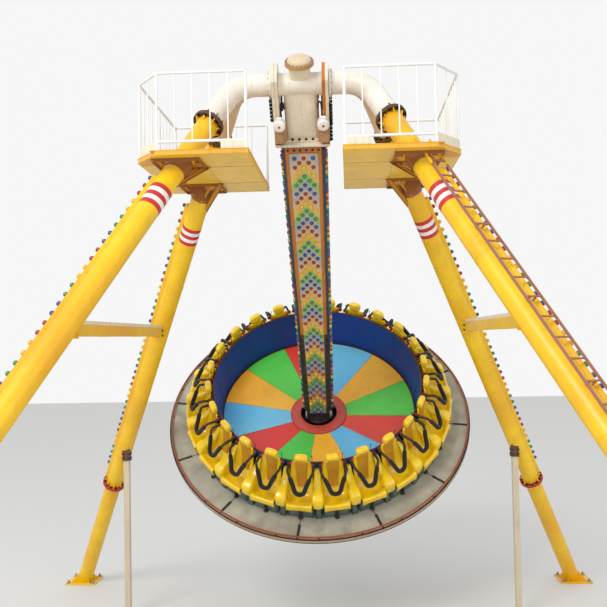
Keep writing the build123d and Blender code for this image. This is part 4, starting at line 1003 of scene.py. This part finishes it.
def make_arm():
    core, sheets, sides, edges, lower, head, foot = (Shape() for _ in range(7))

    def box(shape, start, stop, grow, slot=0):
        rings = []
        for along in (start, stop):
            x, y = (half + grow for half in arm_half(along))
            rings.append([(x, y, -along), (-x, y, -along), (-x, -y, -along), (x, -y, -along)])
        shape.rings(rings, SWING, slot)

    box(core, ARM_HEAD, ARM_END, -0.004)
    sheet_ends = [1.0 + (6.76 - 1.0) * i / 7 for i in range(8)]
    for face in range(4):
        turn = SWING @ turned(90 * face, "Z")
        for start, stop in zip(sheet_ends, sheet_ends[1:]):
            rings = []
            for along in (start + 0.002, stop - 0.002):
                x, y = arm_half(along)
                half, out = (x, y) if face % 2 == 0 else (y, x)
                reach, rise = half - 0.05, 0.003 if face % 2 == 0 else SIDE_RISE
                rings.append([(-reach, -out - rise, -along), (reach, -out - rise, -along),
                              (reach, -out + 0.01, -along), (-reach, -out + 0.01, -along)])
            (sheets if face % 2 == 0 else sides).rings(rings, turn)
        for hand in (-1, 1):
            # Below 4.7 m the edge bars change to the dark brown that is painted shade of the lower arm
            for start, stop, shape in ((ARM_HEAD, 4.7, edges), (4.701, 6.86, lower)):
                rings = []
                for along in (start, stop):
                    x, y = arm_half(along)
                    half, out = (x, y) if face % 2 == 0 else (y, x)
                    rings.append([(hand * (half + 0.01), -out - 0.01, -along),
                                  (hand * (half - 0.048), -out - 0.01, -along),
                                  (hand * (half - 0.048), -out + 0.002, -along),
                                  (hand * (half + 0.01), -out + 0.002, -along)])
                shape.rings(rings, turn)
        for start, stop, shape in ((ARM_HEAD, 0.992, edges), (6.8, 6.86, lower)):
            rings = []
            for along in (start, stop):
                x, y = arm_half(along)
                half, out = (x, y) if face % 2 == 0 else (y, x)
                rings.append([(-half, -out - 0.009, -along), (half, -out - 0.009, -along), (half, -out + 0.002, -along),
                              (-half, -out + 0.002, -along)])
            shape.rings(rings, turn)
        x, y = arm_half(1.0)
        half, out = (x, y) if face % 2 == 0 else (y, x)
        head.block((2 * half - 0.1, 0.012, 0.012), (0, -out - 0.005, -1.0), turn)
    foot_x, foot_y = arm_half(6.9)
    foot.block((2 * foot_x + 0.014, 2 * foot_y + 0.014, 0.09), (0, 0, -6.908), SWING, edge=0.004)
    core.block((0.6, 0.5, 0.028), (0, 0, -0.889), SWING, edge=0.004)
    put(core.mesh("arm_box"), "arm_box", "pendulum", [arm_navy], ["arm"])
    put(sheets.mesh("arm_lamp_sheets"), "arm_lamp_sheets", "pendulum", [arm_ground_lamp_glow])
    put(sides.mesh("arm_side_channels"), "arm_side_channels", "pendulum", [arm_navy])
    put(edges.mesh("arm_edge_bars"), "arm_edge_bars", "pendulum", [arm_orange], ["arm_edges"])
    put(lower.mesh("arm_edge_ends"), "arm_edge_ends", "pendulum", [arm_foot_brown_and_shade])
    put(head.mesh("arm_head_strips"), "arm_head_strips", "pendulum", [band_red])
    put(foot.mesh("arm_foot_band"), "arm_foot_band", "pendulum", [arm_foot_brown_and_shade])
    bolts, rivets = [], []
    for face in range(4):
        turn = SWING @ turned(90 * face, "Z")
        x, y = arm_half(1.04)
        half, out = (x, y) if face % 2 == 0 else (y, x)
        bolts += [turn @ at(half * share, -out - 0.009, -0.95) @ turned(90, "X")
                  for share in (-0.85, -0.51, -0.17, 0.17, 0.51, 0.85)]
        for i in range(38):
            along = 1.16 + 0.15 * i
            x, y = arm_half(along)
            half, out = (x, y) if face % 2 == 0 else (y, x)
            rivets += [turn @ at(hand * (half - 0.018), -out - 0.01, -along) @ turned(90, "X") for hand in (-1, 1)]
    bolt_out("arm_head_bolts", bolts, "pendulum", bolt_dark, 0.03, 0.014)
    flange_bolts = [SWING @ at(x, y, -0.903) @ turned(180, "X") for x in (-0.285, 0.285) for y in (-0.18, 0, 0.18)]
    bolt_out("arm_flange_bolts", flange_bolts, "pendulum", bolt_dark, 0.024, 0.012)
    rivet = Shape()
    rivet.lathe([(0.008, -0.001), (0.007, 0.003), (0.003, 0.005)], sides=8)
    copy_out("arm_rivets", rivet, rivets, "pendulum", arm_orange)


def make_arm_lamps():
    """Lamps in chevrons that point up, in a repeating order of colours, on the arm's four faces."""
    order = ["red", "yellow", "green", "blue"]
    spots = {name: [] for name in order}
    first, pitch, rows = 1.085, 0.1588, 36
    for face in range(4):
        turn = SWING @ turned(90 * face, "Z")
        for row in range(-1, rows):
            for step, across in ((0, 0.0), (0.5, -0.5), (0.5, 0.5), (1, -1.0), (1, 1.0)):
                along = first + pitch * (row + step)
                if row < 0 and step < 1 or along < 1.08 or along > 6.775:
                    continue
                x, y = arm_half(along)
                half, out = (x, y) if face % 2 == 0 else (y, x)
                wide = (0.14 if face % 2 == 0 else 0.115) - 0.013 * (along - 1) / 6
                rise = 0.003 if face % 2 == 0 else SIDE_RISE
                spots[order[row % 4]].append(
                    turn @ at(across * wide, -out - rise, -along - 0.006) @ turned(90, "X"))
    for name, places in spots.items():
        copy_out("arm_lamps_" + name, lamp_cap(0.034, 0.042), places, "pendulum", lamp_caps[name])


# Gondola

def floor_level(radius):
    share = (radius - HUB_RING) / (WALL_RADIUS - HUB_RING)
    return -(6.955 - 0.13 * share)


def ring_panel(shape, inner, outer, low, high, start, span, steps, place, slot=0):
    """A curved panel: low and high are heights, or pairs of heights at the inner and the outer edge."""
    lows = low if isinstance(low, tuple) else (low, low)
    highs = high if isinstance(high, tuple) else (high, high)
    rings = []
    for i in range(steps + 1):
        around = radians(start + span * i / steps)
        c, s = cos(around), sin(around)
        rings.append([(inner * c, inner * s, lows[0]), (outer * c, outer * s, lows[1]),
                      (outer * c, outer * s, highs[1]), (inner * c, inner * s, highs[0])])
    shape.rings(rings, place, slot)


def wall_radius(level):
    """The bowl wall's outer radius: it leans out towards the seats."""
    return WALL_RADIUS + 0.082 * (7.008 - level) / (7.008 - WALL_TOP)


def wall_panel(shape, outer, inner, low, high, start, span, steps):
    """A curved panel of the leaning wall; outer and inner are depths from its outer face."""
    rings = []
    for i in range(steps + 1):
        around = radians(start + span * i / steps)
        rings.append([((wall_radius(level) - depth) * cos(around), (wall_radius(level) - depth) * sin(around), -level)
                      for level, depth in ((low, inner), (low, outer), (high, outer), (high, inner))])
    shape.rings(rings, GONDOLA)


def make_bowl():
    names = ["floor_orange", "floor_blue", "floor_red", "floor_green"]
    colours = {name: Shape() for name in names}
    seams, wall, trims = Shape(), Shape(), Shape()
    posts = []
    for i in range(SECTORS):
        start = -90 + 30 * i
        ring_panel(colours[names[i % 4]], 0.5465, 1.86, (floor_level(0.547) - 0.022, floor_level(1.86) - 0.022),
                   (floor_level(0.547), floor_level(1.86)), start + 0.14, 29.72, 10, GONDOLA)
        seams.rings([[(radius * cos(a) + w * sin(a), radius * sin(a) - w * cos(a), floor_level(radius) + z)
                      for w, z in ((-0.012, -0.004), (0.012, -0.004), (0.012, -0.03), (-0.012, -0.03))]
                     for a in [radians(start)] for radius in (0.548, 1.858)], GONDOLA)
    for name, shape in colours.items():
        put(shape.mesh(name + "_sheets"), name + "_sheets", "gondola", [sector_paints[name]],
            [name])
    put(seams.mesh("floor_seams"), "floor_seams", "gondola", [rim_black])
    for i in range(SEATS):
        wall_panel(wall, 0.0, WALL_SHEET, 7.008, WALL_TOP + 0.006, -90 + 15 * i + 0.05, 14.9, 6)
        wall_panel(wall, WALL_SHEET - 0.002, WALL_SHEET + 0.003, 6.83, WALL_TOP + 0.014, -90 + 15 * i - 0.7, 1.4, 2)
        posts += [GONDOLA @ turned(-90 + 15 * i + t, "Z") @ at(wall_radius(low) - WALL_SHEET - 0.003, 0, -low)
                  @ turned(-90, "Y") for t in (-0.5, 0.5) for low in (6.7, 6.5, 6.3, 6.15)]
    section = [(wall_radius(WALL_TOP) - 0.011 + 0.018 * cos(a), -WALL_TOP - 0.011 + 0.017 * sin(a))
               for a in [pi * k / 5 for k in range(10)]]
    trims.lathe(section, GONDOLA, 144, looped=True)
    trims.collar(WALL_RADIUS - WALL_SHEET - 0.028, WALL_RADIUS - WALL_SHEET, floor_level(1.86) + 0.001,
                 floor_level(1.86) + 0.03, GONDOLA, 144)
    put(wall.mesh("bowl_panels"), "bowl_panels", "gondola", [wall_blue], ["bowl_wall"])
    put(trims.mesh("bowl_trims"), "bowl_trims", "gondola", [wall_edge])
    copy_out("wall_rivets", dome_shape(), posts, "gondola", wall_blue)


def dome_shape():
    dome = Shape()
    dome.lathe([(0.008, -0.001), (0.007, 0.003), (0.003, 0.0045)], sides=8)
    return dome


def make_hub_ring():
    ring, throat = Shape(), Shape()
    ring.lathe([(HUB_HOLE + 0.058, -7.008), (HUB_HOLE + 0.058, -6.98), (HUB_RING - 0.004, -6.98),
                (HUB_RING, -6.976), (HUB_RING, -6.938), (HUB_RING - 0.006, -6.929), (HUB_RING - 0.014, -6.925),
                (HUB_HOLE + 0.02, -6.925), (HUB_HOLE + 0.008, -6.928), (HUB_HOLE + 0.002, -6.936),
                (HUB_HOLE + 0.002, -6.955)], GONDOLA, 96, looped=True)
    throat.lathe([(HUB_HOLE + 0.004, -6.94), (HUB_HOLE + 0.004, -7.2), (0.27, -7.2), (0.27, -7.212),
                  (HUB_HOLE + 0.018, -7.212), (HUB_HOLE + 0.018, -6.94)], GONDOLA, 96, looped=True)
    put(ring.mesh("hub_ring_top"), "hub_ring_top", "gondola", [ring_red], ["hub_ring"])
    put(throat.mesh("hub_throat"), "hub_throat", "gondola", [throat_brown])
    bolt_out("hub_ring_screws", circle_spots(GONDOLA, 0.515, 36, 5, -6.925), "gondola", ring_red, 0.022, 0.007)


def make_deck():
    panels, joints, nosing = Shape(), Shape(), Shape()
    screws = []
    for i in range(SECTORS):
        start = -90 + 30 * i
        ring_panel(panels, 1.887, 2.8765, DECK_LEVEL - 0.03, DECK_LEVEL, start + 0.16, 29.68, 12, GONDOLA)
        ring_panel(nosing, 2.84, 2.876, DECK_LEVEL - 0.001, DECK_LEVEL + 0.0035, start + 0.3, 29.4, 12, GONDOLA)
        turn = GONDOLA @ turned(start, "Z")
        joints.block((0.28, 0.05, 0.006), (2.715, 0, DECK_LEVEL + 0.002), turn, edge=0.002)
        joints.block((0.98, 0.014, 0.02), (2.38, 0, DECK_LEVEL - 0.012), turn)
        screws += [turn @ at(r, y, DECK_LEVEL) for r in (1.95, 2.2, 2.5) for y in (-0.03, 0.03)]
        screws += [GONDOLA @ turned(start + t, "Z") @ at(2.858, 0, DECK_LEVEL + 0.0035) for t in (3, 9, 15, 21, 27)]
    put(panels.mesh("deck_panels"), "deck_panels", "gondola", [deck_coat], ["deck"])
    put(joints.mesh("deck_joints"), "deck_joints", "gondola", [rim_black])
    put(nosing.mesh("deck_nosing"), "deck_nosing", "gondola", [rim_tan])
    copy_out("deck_screws", dome_shape(), screws, "gondola", zinc)


def make_rim():
    fascia, inner, lip, rail = Shape(), Shape(), Shape(), Shape()
    for i in range(36):
        ring_panel(fascia, 2.896, RIM_RADIUS - 0.001, -7.03, -6.966, -90 + 10 * i + 0.07, 9.86, 5, GONDOLA)
    inner.lathe([(2.878, -7.05), (2.897, -7.05), (2.897, -6.964), (2.878, -6.964)], GONDOLA, 144, looped=True)
    lip.lathe([(2.88, -7.053), (2.902, -7.053), (2.9055, -7.048), (2.9055, -7.033), (2.902, -7.029), (2.88, -7.029)],
              GONDOLA, 144, looped=True)
    lip.lathe([(2.879, -6.962), (2.902, -6.962), (2.9055, -6.9655), (2.902, -6.969), (2.879, -6.969)], GONDOLA, 144,
              looped=True)
    rail.lathe([(RAIL_RADIUS + 0.0145 * cos(a), -6.9195 + 0.0145 * sin(a)) for a in [pi * k / 5 for k in range(10)]],
               GONDOLA, 144, looped=True)
    put(fascia.mesh("rim_fascia"), "rim_fascia", "gondola", [rim_tan], ["rim_band"])
    put(inner.mesh("rim_inner"), "rim_inner", "gondola", [gear_brown])
    put(lip.mesh("rim_lips"), "rim_lips", "gondola", [rim_black])
    put(rail.mesh("rim_tube"), "rim_tube", "gondola", [rim_brown], ["rim_rail"])
    post = Shape()
    post.tube([(0, 0, 0.001), (0, 0, 0.055)], 0.009, sides=10)
    post.block((0.03, 0.05, 0.006), (0, 0, 0.004), edge=0.002)
    copy_out("rim_posts", post, [GONDOLA @ turned(-82.5 + 15 * i, "Z") @ at(RAIL_RADIUS, 0, DECK_LEVEL)
                                 for i in range(SEATS)], "gondola", rim_brown)


def seat_shell():
    """Back and pan moulded as one scoop, with raised rims and a hollow for the rider."""
    spine = smooth_path([(2.026, 0, -5.965), (2.042, 0, -6.08), (2.068, 0, -6.23), (2.105, 0, -6.38),
                         (2.155, 0, -6.505), (2.215, 0, -6.575), (2.3, 0, -6.592), (2.4, 0, -6.575),
                         (2.475, 0, -6.54), (2.512, 0, -6.54), (2.53, 0, -6.57), (2.53, 0, -6.65)], 3)
    count = len(spine)
    shell = Shape()
    rings = []
    for i, point in enumerate(spine):
        before, after = spine[max(i - 1, 0)], spine[min(i + 1, count - 1)]
        along = (after - before).normalized()
        out = Vector((-along.z, 0, along.x))
        share = i / (count - 1)
        half = 0.163 + 0.06 * min(1, share * 2.6) - (0.012 if i == 0 else 0)
        wing = 0.036 * sin(pi * min(1, share * 1.02)) + 0.012
        hollow = 0.034 * sin(pi * min(1.0, share * 1.12)) ** 2
        front, back = [], []
        for k in range(11):
            v = -1 + 2 * k / 10
            y = half * sin(v * pi / 2 * 0.94) / sin(pi / 2 * 0.94)
            rise = wing * abs(v) ** 3 - hollow * (1 - v * v)
            front.append(point + out * rise + Vector((0, y, 0)))
            back.append(point + out * (rise - 0.026 - 0.012 * (1 - v * v)) + Vector((0, y * 0.985, 0)))
        rings.append(front + back[::-1])
    shell.rings(rings)
    return shell


def bolster_shape():
    curve = [(1.965, -6.185), (1.985, -6.15), (2.03, -6.14), (2.07, -6.17), (2.12, -6.24), (2.2, -6.3), (2.3, -6.335),
             (2.39, -6.345), (2.465, -6.356), (2.518, -6.395), (2.535, -6.45), (2.535, -6.54), (2.52, -6.61),
             (2.47, -6.64), (2.38, -6.636), (2.28, -6.6), (2.19, -6.53), (2.12, -6.42), (2.04, -6.29), (1.985, -6.225)]
    wing = Shape()
    wing.pillow(curve, 0.1, 0.045, width=lambda x, z: 0.62 + 0.38 * min(1, max(0, (x - 2.08) / 0.3)) ** 1.4)
    return wing


def pod(size, centre, power=0.62, sides=28, rows=12):
    """A padded block with rounded sides and corners; its short axis lies along X."""
    shape = Shape()
    signed = lambda v: (abs(v) ** power) * (1 if v >= 0 else -1)
    rings = []
    for i in range(1, rows):
        tilt = -pi / 2 + pi * i / rows
        wide, x = abs(cos(tilt)) ** 0.55, signed(sin(tilt))
        rings.append([(centre[0] + x * size[0] / 2, centre[1] + wide * signed(cos(a)) * size[1] / 2,
                       centre[2] + wide * signed(sin(a)) * size[2] / 2)
                      for a in [2 * pi * k / sides for k in range(sides)]])
    shape.rings(rings)
    return shape


def make_seats():
    spots = [seat_frame(i) for i in range(SEATS)]
    between = [seat_frame(i + 0.5) for i in range(SEATS)]
    copy_out("seat_shells", seat_shell(), spots, "gondola", seat_gel, ["seat_backs", "seat_pans"])
    copy_out("seat_wings", bolster_shape(), between, "gondola", seat_gel, ["seat_bolsters"])
    # A thin ochre sheet on the front of each seat back: the yellow moulding darkened as painted shade
    back_shade = Shape()
    rings = []
    for i in range(15):
        share = i / 14
        x, z = 2.0305 + 0.115 * share ** 1.7, -5.985 - 0.5 * share
        wide = 0.112 - 0.04 * share
        lift = 0.004 + 0.012 * sin(pi * share) ** 0.5 - 0.02 * sin(pi * min(1.0, share * 0.62)) ** 2
        rings.append([(x + lift, -wide, z), (x + lift + 0.006, -wide * 0.8, z), (x + lift + 0.006, wide * 0.8, z),
                      (x + lift, wide, z), (x + lift - 0.016, wide * 0.9, z), (x + lift - 0.016, -wide * 0.9, z)])
    back_shade.rings(rings)
    seat_front_shade_ochre = finish("seat yellow darkened as painted shade", "C98E14", rough=0.5, mottle=0.14, grain_mm=3.0, grain_depth=0.3)
    copy_out("back_inserts", back_shade, spots, "gondola", seat_front_shade_ochre)
    head = pod((0.118, 0.234, 0.174), (2.03, 0, -5.872))
    copy_out("head_pods", head, spots, "gondola", seat_gel, ["headrests"])
    # An ochre sheet on each headrest's front: the yellow moulding darkened as painted shade
    head_shade = pod((0.05, 0.17, 0.1), (2.074, 0, -5.9))
    copy_out("head_pads", head_shade, spots, "gondola", seat_front_shade_ochre)
    skirt = Shape()
    skirt.block((0.2, 0.44, 0.3), (2.31, 0, -6.826), edge=0.03)
    skirt.block((0.215, 0.452, 0.022), (2.312, 0, -6.968), edge=0.004)
    for y in (-0.12, 0.12):
        skirt.block((0.008, 0.16, 0.2), (2.412, y, -6.82), edge=0.003)
    copy_out("seat_skirts", skirt, spots, "gondola", base_paint, ["seat_bases"])
    foot = Shape()
    foot.block((0.15, 0.088, 0.46), (2.36, 0, -6.75), edge=0.02)
    foot.block((0.17, 0.12, 0.014), (2.36, 0, -6.972), edge=0.003)
    copy_out("wing_feet", foot, between, "gondola", base_paint)
    post = Shape()
    post.tube([(2.437, 0, -6.978), (2.437, 0, -6.62)], 0.024, sides=16)
    post.lathe([(0.045, -6.978), (0.045, -6.968), (0.03, -6.955), (0.024, -6.95)], at(2.437, 0, 0), 16)
    post.block((0.13, 0.1, 0.012), (2.42, 0, -6.632), edge=0.003)
    copy_out("seat_posts", post, spots, "gondola", post_black)
    rib = Shape()
    rib.plate([(1.95, -6.12), (1.925, -6.4), (2.06, -6.38), (2.01, -6.12)], -0.03, 0.03, turned(90, "X"))
    copy_out("seat_ribs", rib, spots, "gondola", base_paint)
    bracket = Shape()
    for side in (-1, 1):
        turn = at(2.01, side * 0.1812, -6.04) @ turned(90, "X")
        outline = [(0.038 * cos(a) + 0.002, 0.038 * sin(a)) for a in [pi * k / 8 for k in range(9)]]
        outline += [(-0.038, -0.038), (0.04, -0.038)]
        bracket.plate(outline[::-1], -0.0088, 0.0088, turn)
        bracket.block((0.07, 0.012, 0.012), (-0.002, -0.03, 0), turn)
        bracket.block((0.03, 0.012, 0.07), (1.986, side * 0.166, -6.05), edge=0.003)
        bracket.collar(0.013, 0.024, 0.008, 0.0105, at(2.03, side * 0.1812, -6.03) @ turned(-90 * side, "X"), 20)
    copy_out("yoke_ears", bracket, spots, "gondola", bracket_red, ["yoke_brackets"])
    shafts, levers = Shape(), Shape()
    for side in (-1, 1):
        shafts.lathe([(0.0136, 0.175), (0.0136, 0.252), (0.0116, 0.254)],
                     at(2.03, 0, -6.03) @ turned(-90 * side, "X"), 16)
    copy_out("yoke_shafts", shafts, spots, "gondola", shaft_black)
    levers.tube([(1.99, 0.181, -6.02), (1.99, 0.181, -5.93), (1.985, 0.179, -5.86), (1.98, 0.178, -5.845)], 0.0055, sides=8)
    levers.lathe([(0.004, -0.012), (0.009, -0.007), (0.011, 0.0), (0.009, 0.007), (0.004, 0.012)],
                 at(1.98, 0.178, -5.842), 12)
    copy_out("seat_levers", levers, spots, "gondola", post_black)
    caps = [spot @ at(2.418, y, z) @ turned(90, "Y") for spot in spots for y in (-0.185, -0.055, 0.055, 0.185)
            for z in (-6.735, -6.905)]
    copy_out("skirt_screws", dome_shape(), caps, "gondola", zinc)


def yoke_path():
    pivot_r, pivot_z, half = 2.03, -6.03, 0.2172
    side = [Vector((pivot_r, -half, pivot_z - 0.0)), Vector((2.12, -half, -6.02)), Vector((2.195, -half, -6.022)),
            Vector((2.232, -0.2, -6.05)), Vector((2.262, -0.176, -6.1)), Vector((2.322, -0.124, -6.215)),
            Vector((2.374, -0.086, -6.318)), Vector((2.394, -0.055, -6.36)), Vector((2.402, 0, -6.372))]
    other = [Vector((p.x, -p.y, p.z)) for p in side[:-1]][::-1]
    return smooth_path(side + other, 5)


def make_yokes():
    path = yoke_path()
    steel, foam = Shape(), Shape()
    steel.tube(path, 0.0235, sides=16)
    for side in (-1, 1):
        turn = at(2.03, side * 0.2172, -6.03) @ turned(90, "X")
        steel.lathe([(0.0155, -0.0245), (0.033, -0.0245), (0.0365, -0.02), (0.0365, 0.02), (0.033, 0.0245),
                     (0.0155, 0.0245)], turn, 28, looped=True)
        steel.block((0.034, 0.046, 0.044), (2.01, side * 0.2172, -6.033), edge=0.01)
    run, lengths = 0.0, [0.0]
    for a, b in zip(path, path[1:]):
        run += (b - a).length
        lengths.append(run)
    padded = [(p, s) for p, s in zip(path, lengths) if 0.262 <= s <= run - 0.262]
    first, last = padded[0][1], padded[-1][1]
    radii = []
    for p, s in padded:
        edge = min(s - first, last - s)
        radii.append(0.0245 + 0.0145 * min(1, edge / 0.035) ** 0.5)
    foam.tube([p for p, s in padded], radii, sides=20)
    foam.block((0.05, 0.11, 0.056), (2.4, 0, -6.374), edge=0.016)
    steel_mesh, foam_mesh = steel.mesh("yoke_bar"), foam.mesh("yoke_foam", 50)
    for i in range(SEATS):
        body = "yoke_%02d" % (i + 1)
        place = seat_frame(i)
        for mesh, name, paint, slot, replaced in ((steel_mesh, "_bar", yoke_steel, "yoke_black", [body]),
                                                  (foam_mesh, "_foam", foam_black, None, [])):
            own = mesh.copy()
            own.transform(place)
            piece = put(own, body + name, body, [paint], replaced)
    for mesh in (steel_mesh, foam_mesh):
        bpy.data.meshes.remove(mesh)


def make_underframe():
    hub = Shape()
    hub.collar(0.372, 0.552, -7.356, -7.343, GONDOLA, 72)
    put(hub.mesh("frame_cover"), "frame_cover", "gondola", [frame_teal])
    spots = circle_spots(GONDOLA, 0.46, 24, 7.5, -7.356, inward=True)
    spots += circle_spots(GONDOLA, 0.535, 24, 0, -7.356, inward=True)
    spots += circle_spots(GONDOLA, 0.31, 24, 0, -7.22, inward=True)
    bolt_out("frame_bolts", spots, "gondola", bolt_dark, 0.034, 0.014)
    plates, ends = Shape(), []
    for i in range(SECTORS):
        turn = GONDOLA @ turned(-90 + 30 * i + 15, "Z")
        for radius in (1.0, 1.6, 2.2):
            depth = 0.26 - 0.21 * (radius - 0.56) / 2.31
            plates.block((0.012, 0.12, depth - 0.02), (radius, 0, -7.012 - depth / 2), turn)
    put(plates.mesh("spoke_webs"), "spoke_webs", "gondola", [frame_teal])


# Stage, light and camera

def make_stage():
    mesh = bpy.data.meshes.new("studio_floor")
    mesh.from_pydata([(-60, -60, -0.002), (60, -60, -0.002), (60, 60, -0.002), (-60, 60, -0.002)], [], [(0, 1, 2, 3)])
    piece = bpy.data.objects.new("studio_floor", mesh)
    bpy.context.collection.objects.link(piece)
    material = bpy.data.materials.new("studio floor grey")
    material.use_nodes = True
    shader = material.node_tree.nodes["Principled BSDF"]
    shader.inputs["Base Color"].default_value = paint_colour("DEDEDC")
    shader.inputs["Roughness"].default_value = 0.85
    mesh.materials.append(material)


def make_light():
    world = bpy.data.worlds.new("studio")
    bpy.context.scene.world = world
    world.use_nodes = True
    tree = world.node_tree
    sky = tree.nodes["Background"]
    sky.inputs["Color"].default_value = (1, 1, 1, 1)
    sky.inputs["Strength"].default_value = 0.8
    shown = node(tree, "ShaderNodeBackground", {"Color": (1, 1, 1, 1), "Strength": 0.93})
    path = node(tree, "ShaderNodeLightPath")
    seen = path.outputs["Is Camera Ray"]
    for other in ("Is Glossy Ray", "Is Transmission Ray"):
        seen = node(tree, "ShaderNodeMath", {"operation": "MAXIMUM"}, {0: seen, 1: path.outputs[other]}).outputs[0]
    mix = node(tree, "ShaderNodeMixShader", links={0: seen, 1: sky.outputs[0], 2: shown.outputs[0]})
    tree.links.new(mix.outputs[0], tree.nodes["World Output"].inputs["Surface"])
    for name, place, size, energy in (("key", (-13, -20, 22), 12, 4500), ("fill", (18, -16, 10), 14, 850)):
        lamp = bpy.data.lights.new(name, "AREA")
        lamp.size = size
        lamp.energy = energy
        shown_lamp = bpy.data.objects.new(name, lamp)
        bpy.context.collection.objects.link(shown_lamp)
        shown_lamp.location = place
        shown_lamp.rotation_euler = (Vector((0, 1, 4)) - Vector(place)).to_track_quat("-Z", "Y").to_euler()


def make_camera():
    camera = bpy.data.cameras.new("camera")
    camera.sensor_width = 36
    camera.lens = 868.283 / 607 * 36
    camera.shift_x = (303.5 - 300) / 607
    camera.shift_y = (301 - 303.5) / 607
    holder = bpy.data.objects.new("camera", camera)
    bpy.context.collection.objects.link(holder)
    yaw, pitch, roll = -0.055762, 0.041794, -0.018752
    level, right = Vector((sin(yaw), cos(yaw), 0)), Vector((cos(yaw), -sin(yaw), 0))
    up = Vector((0, 0, 1))
    ahead, tilted = level * cos(pitch) + up * sin(pitch), up * cos(pitch) - level * sin(pitch)
    x, y = right * cos(roll) + tilted * sin(roll), tilted * cos(roll) - right * sin(roll)
    turn = Matrix((x, y, -ahead)).transposed().to_4x4()
    holder.matrix_world = Matrix.Translation((0.623, -12.279, 5.177)) @ turn
    bpy.context.scene.camera = holder


for make in (make_legs, make_feet, make_props, make_beam_details, make_crown, make_platform_details, make_railings,
             make_ladder, make_lamp_rails, make_hub, make_cheeks, make_motors, make_arm, make_arm_lamps, make_bowl,
             make_hub_ring, make_deck, make_rim, make_seats, make_yokes, make_underframe, make_stage, make_light,
             make_camera):
    make()
bpy.context.scene.view_settings.view_transform = "Standard"
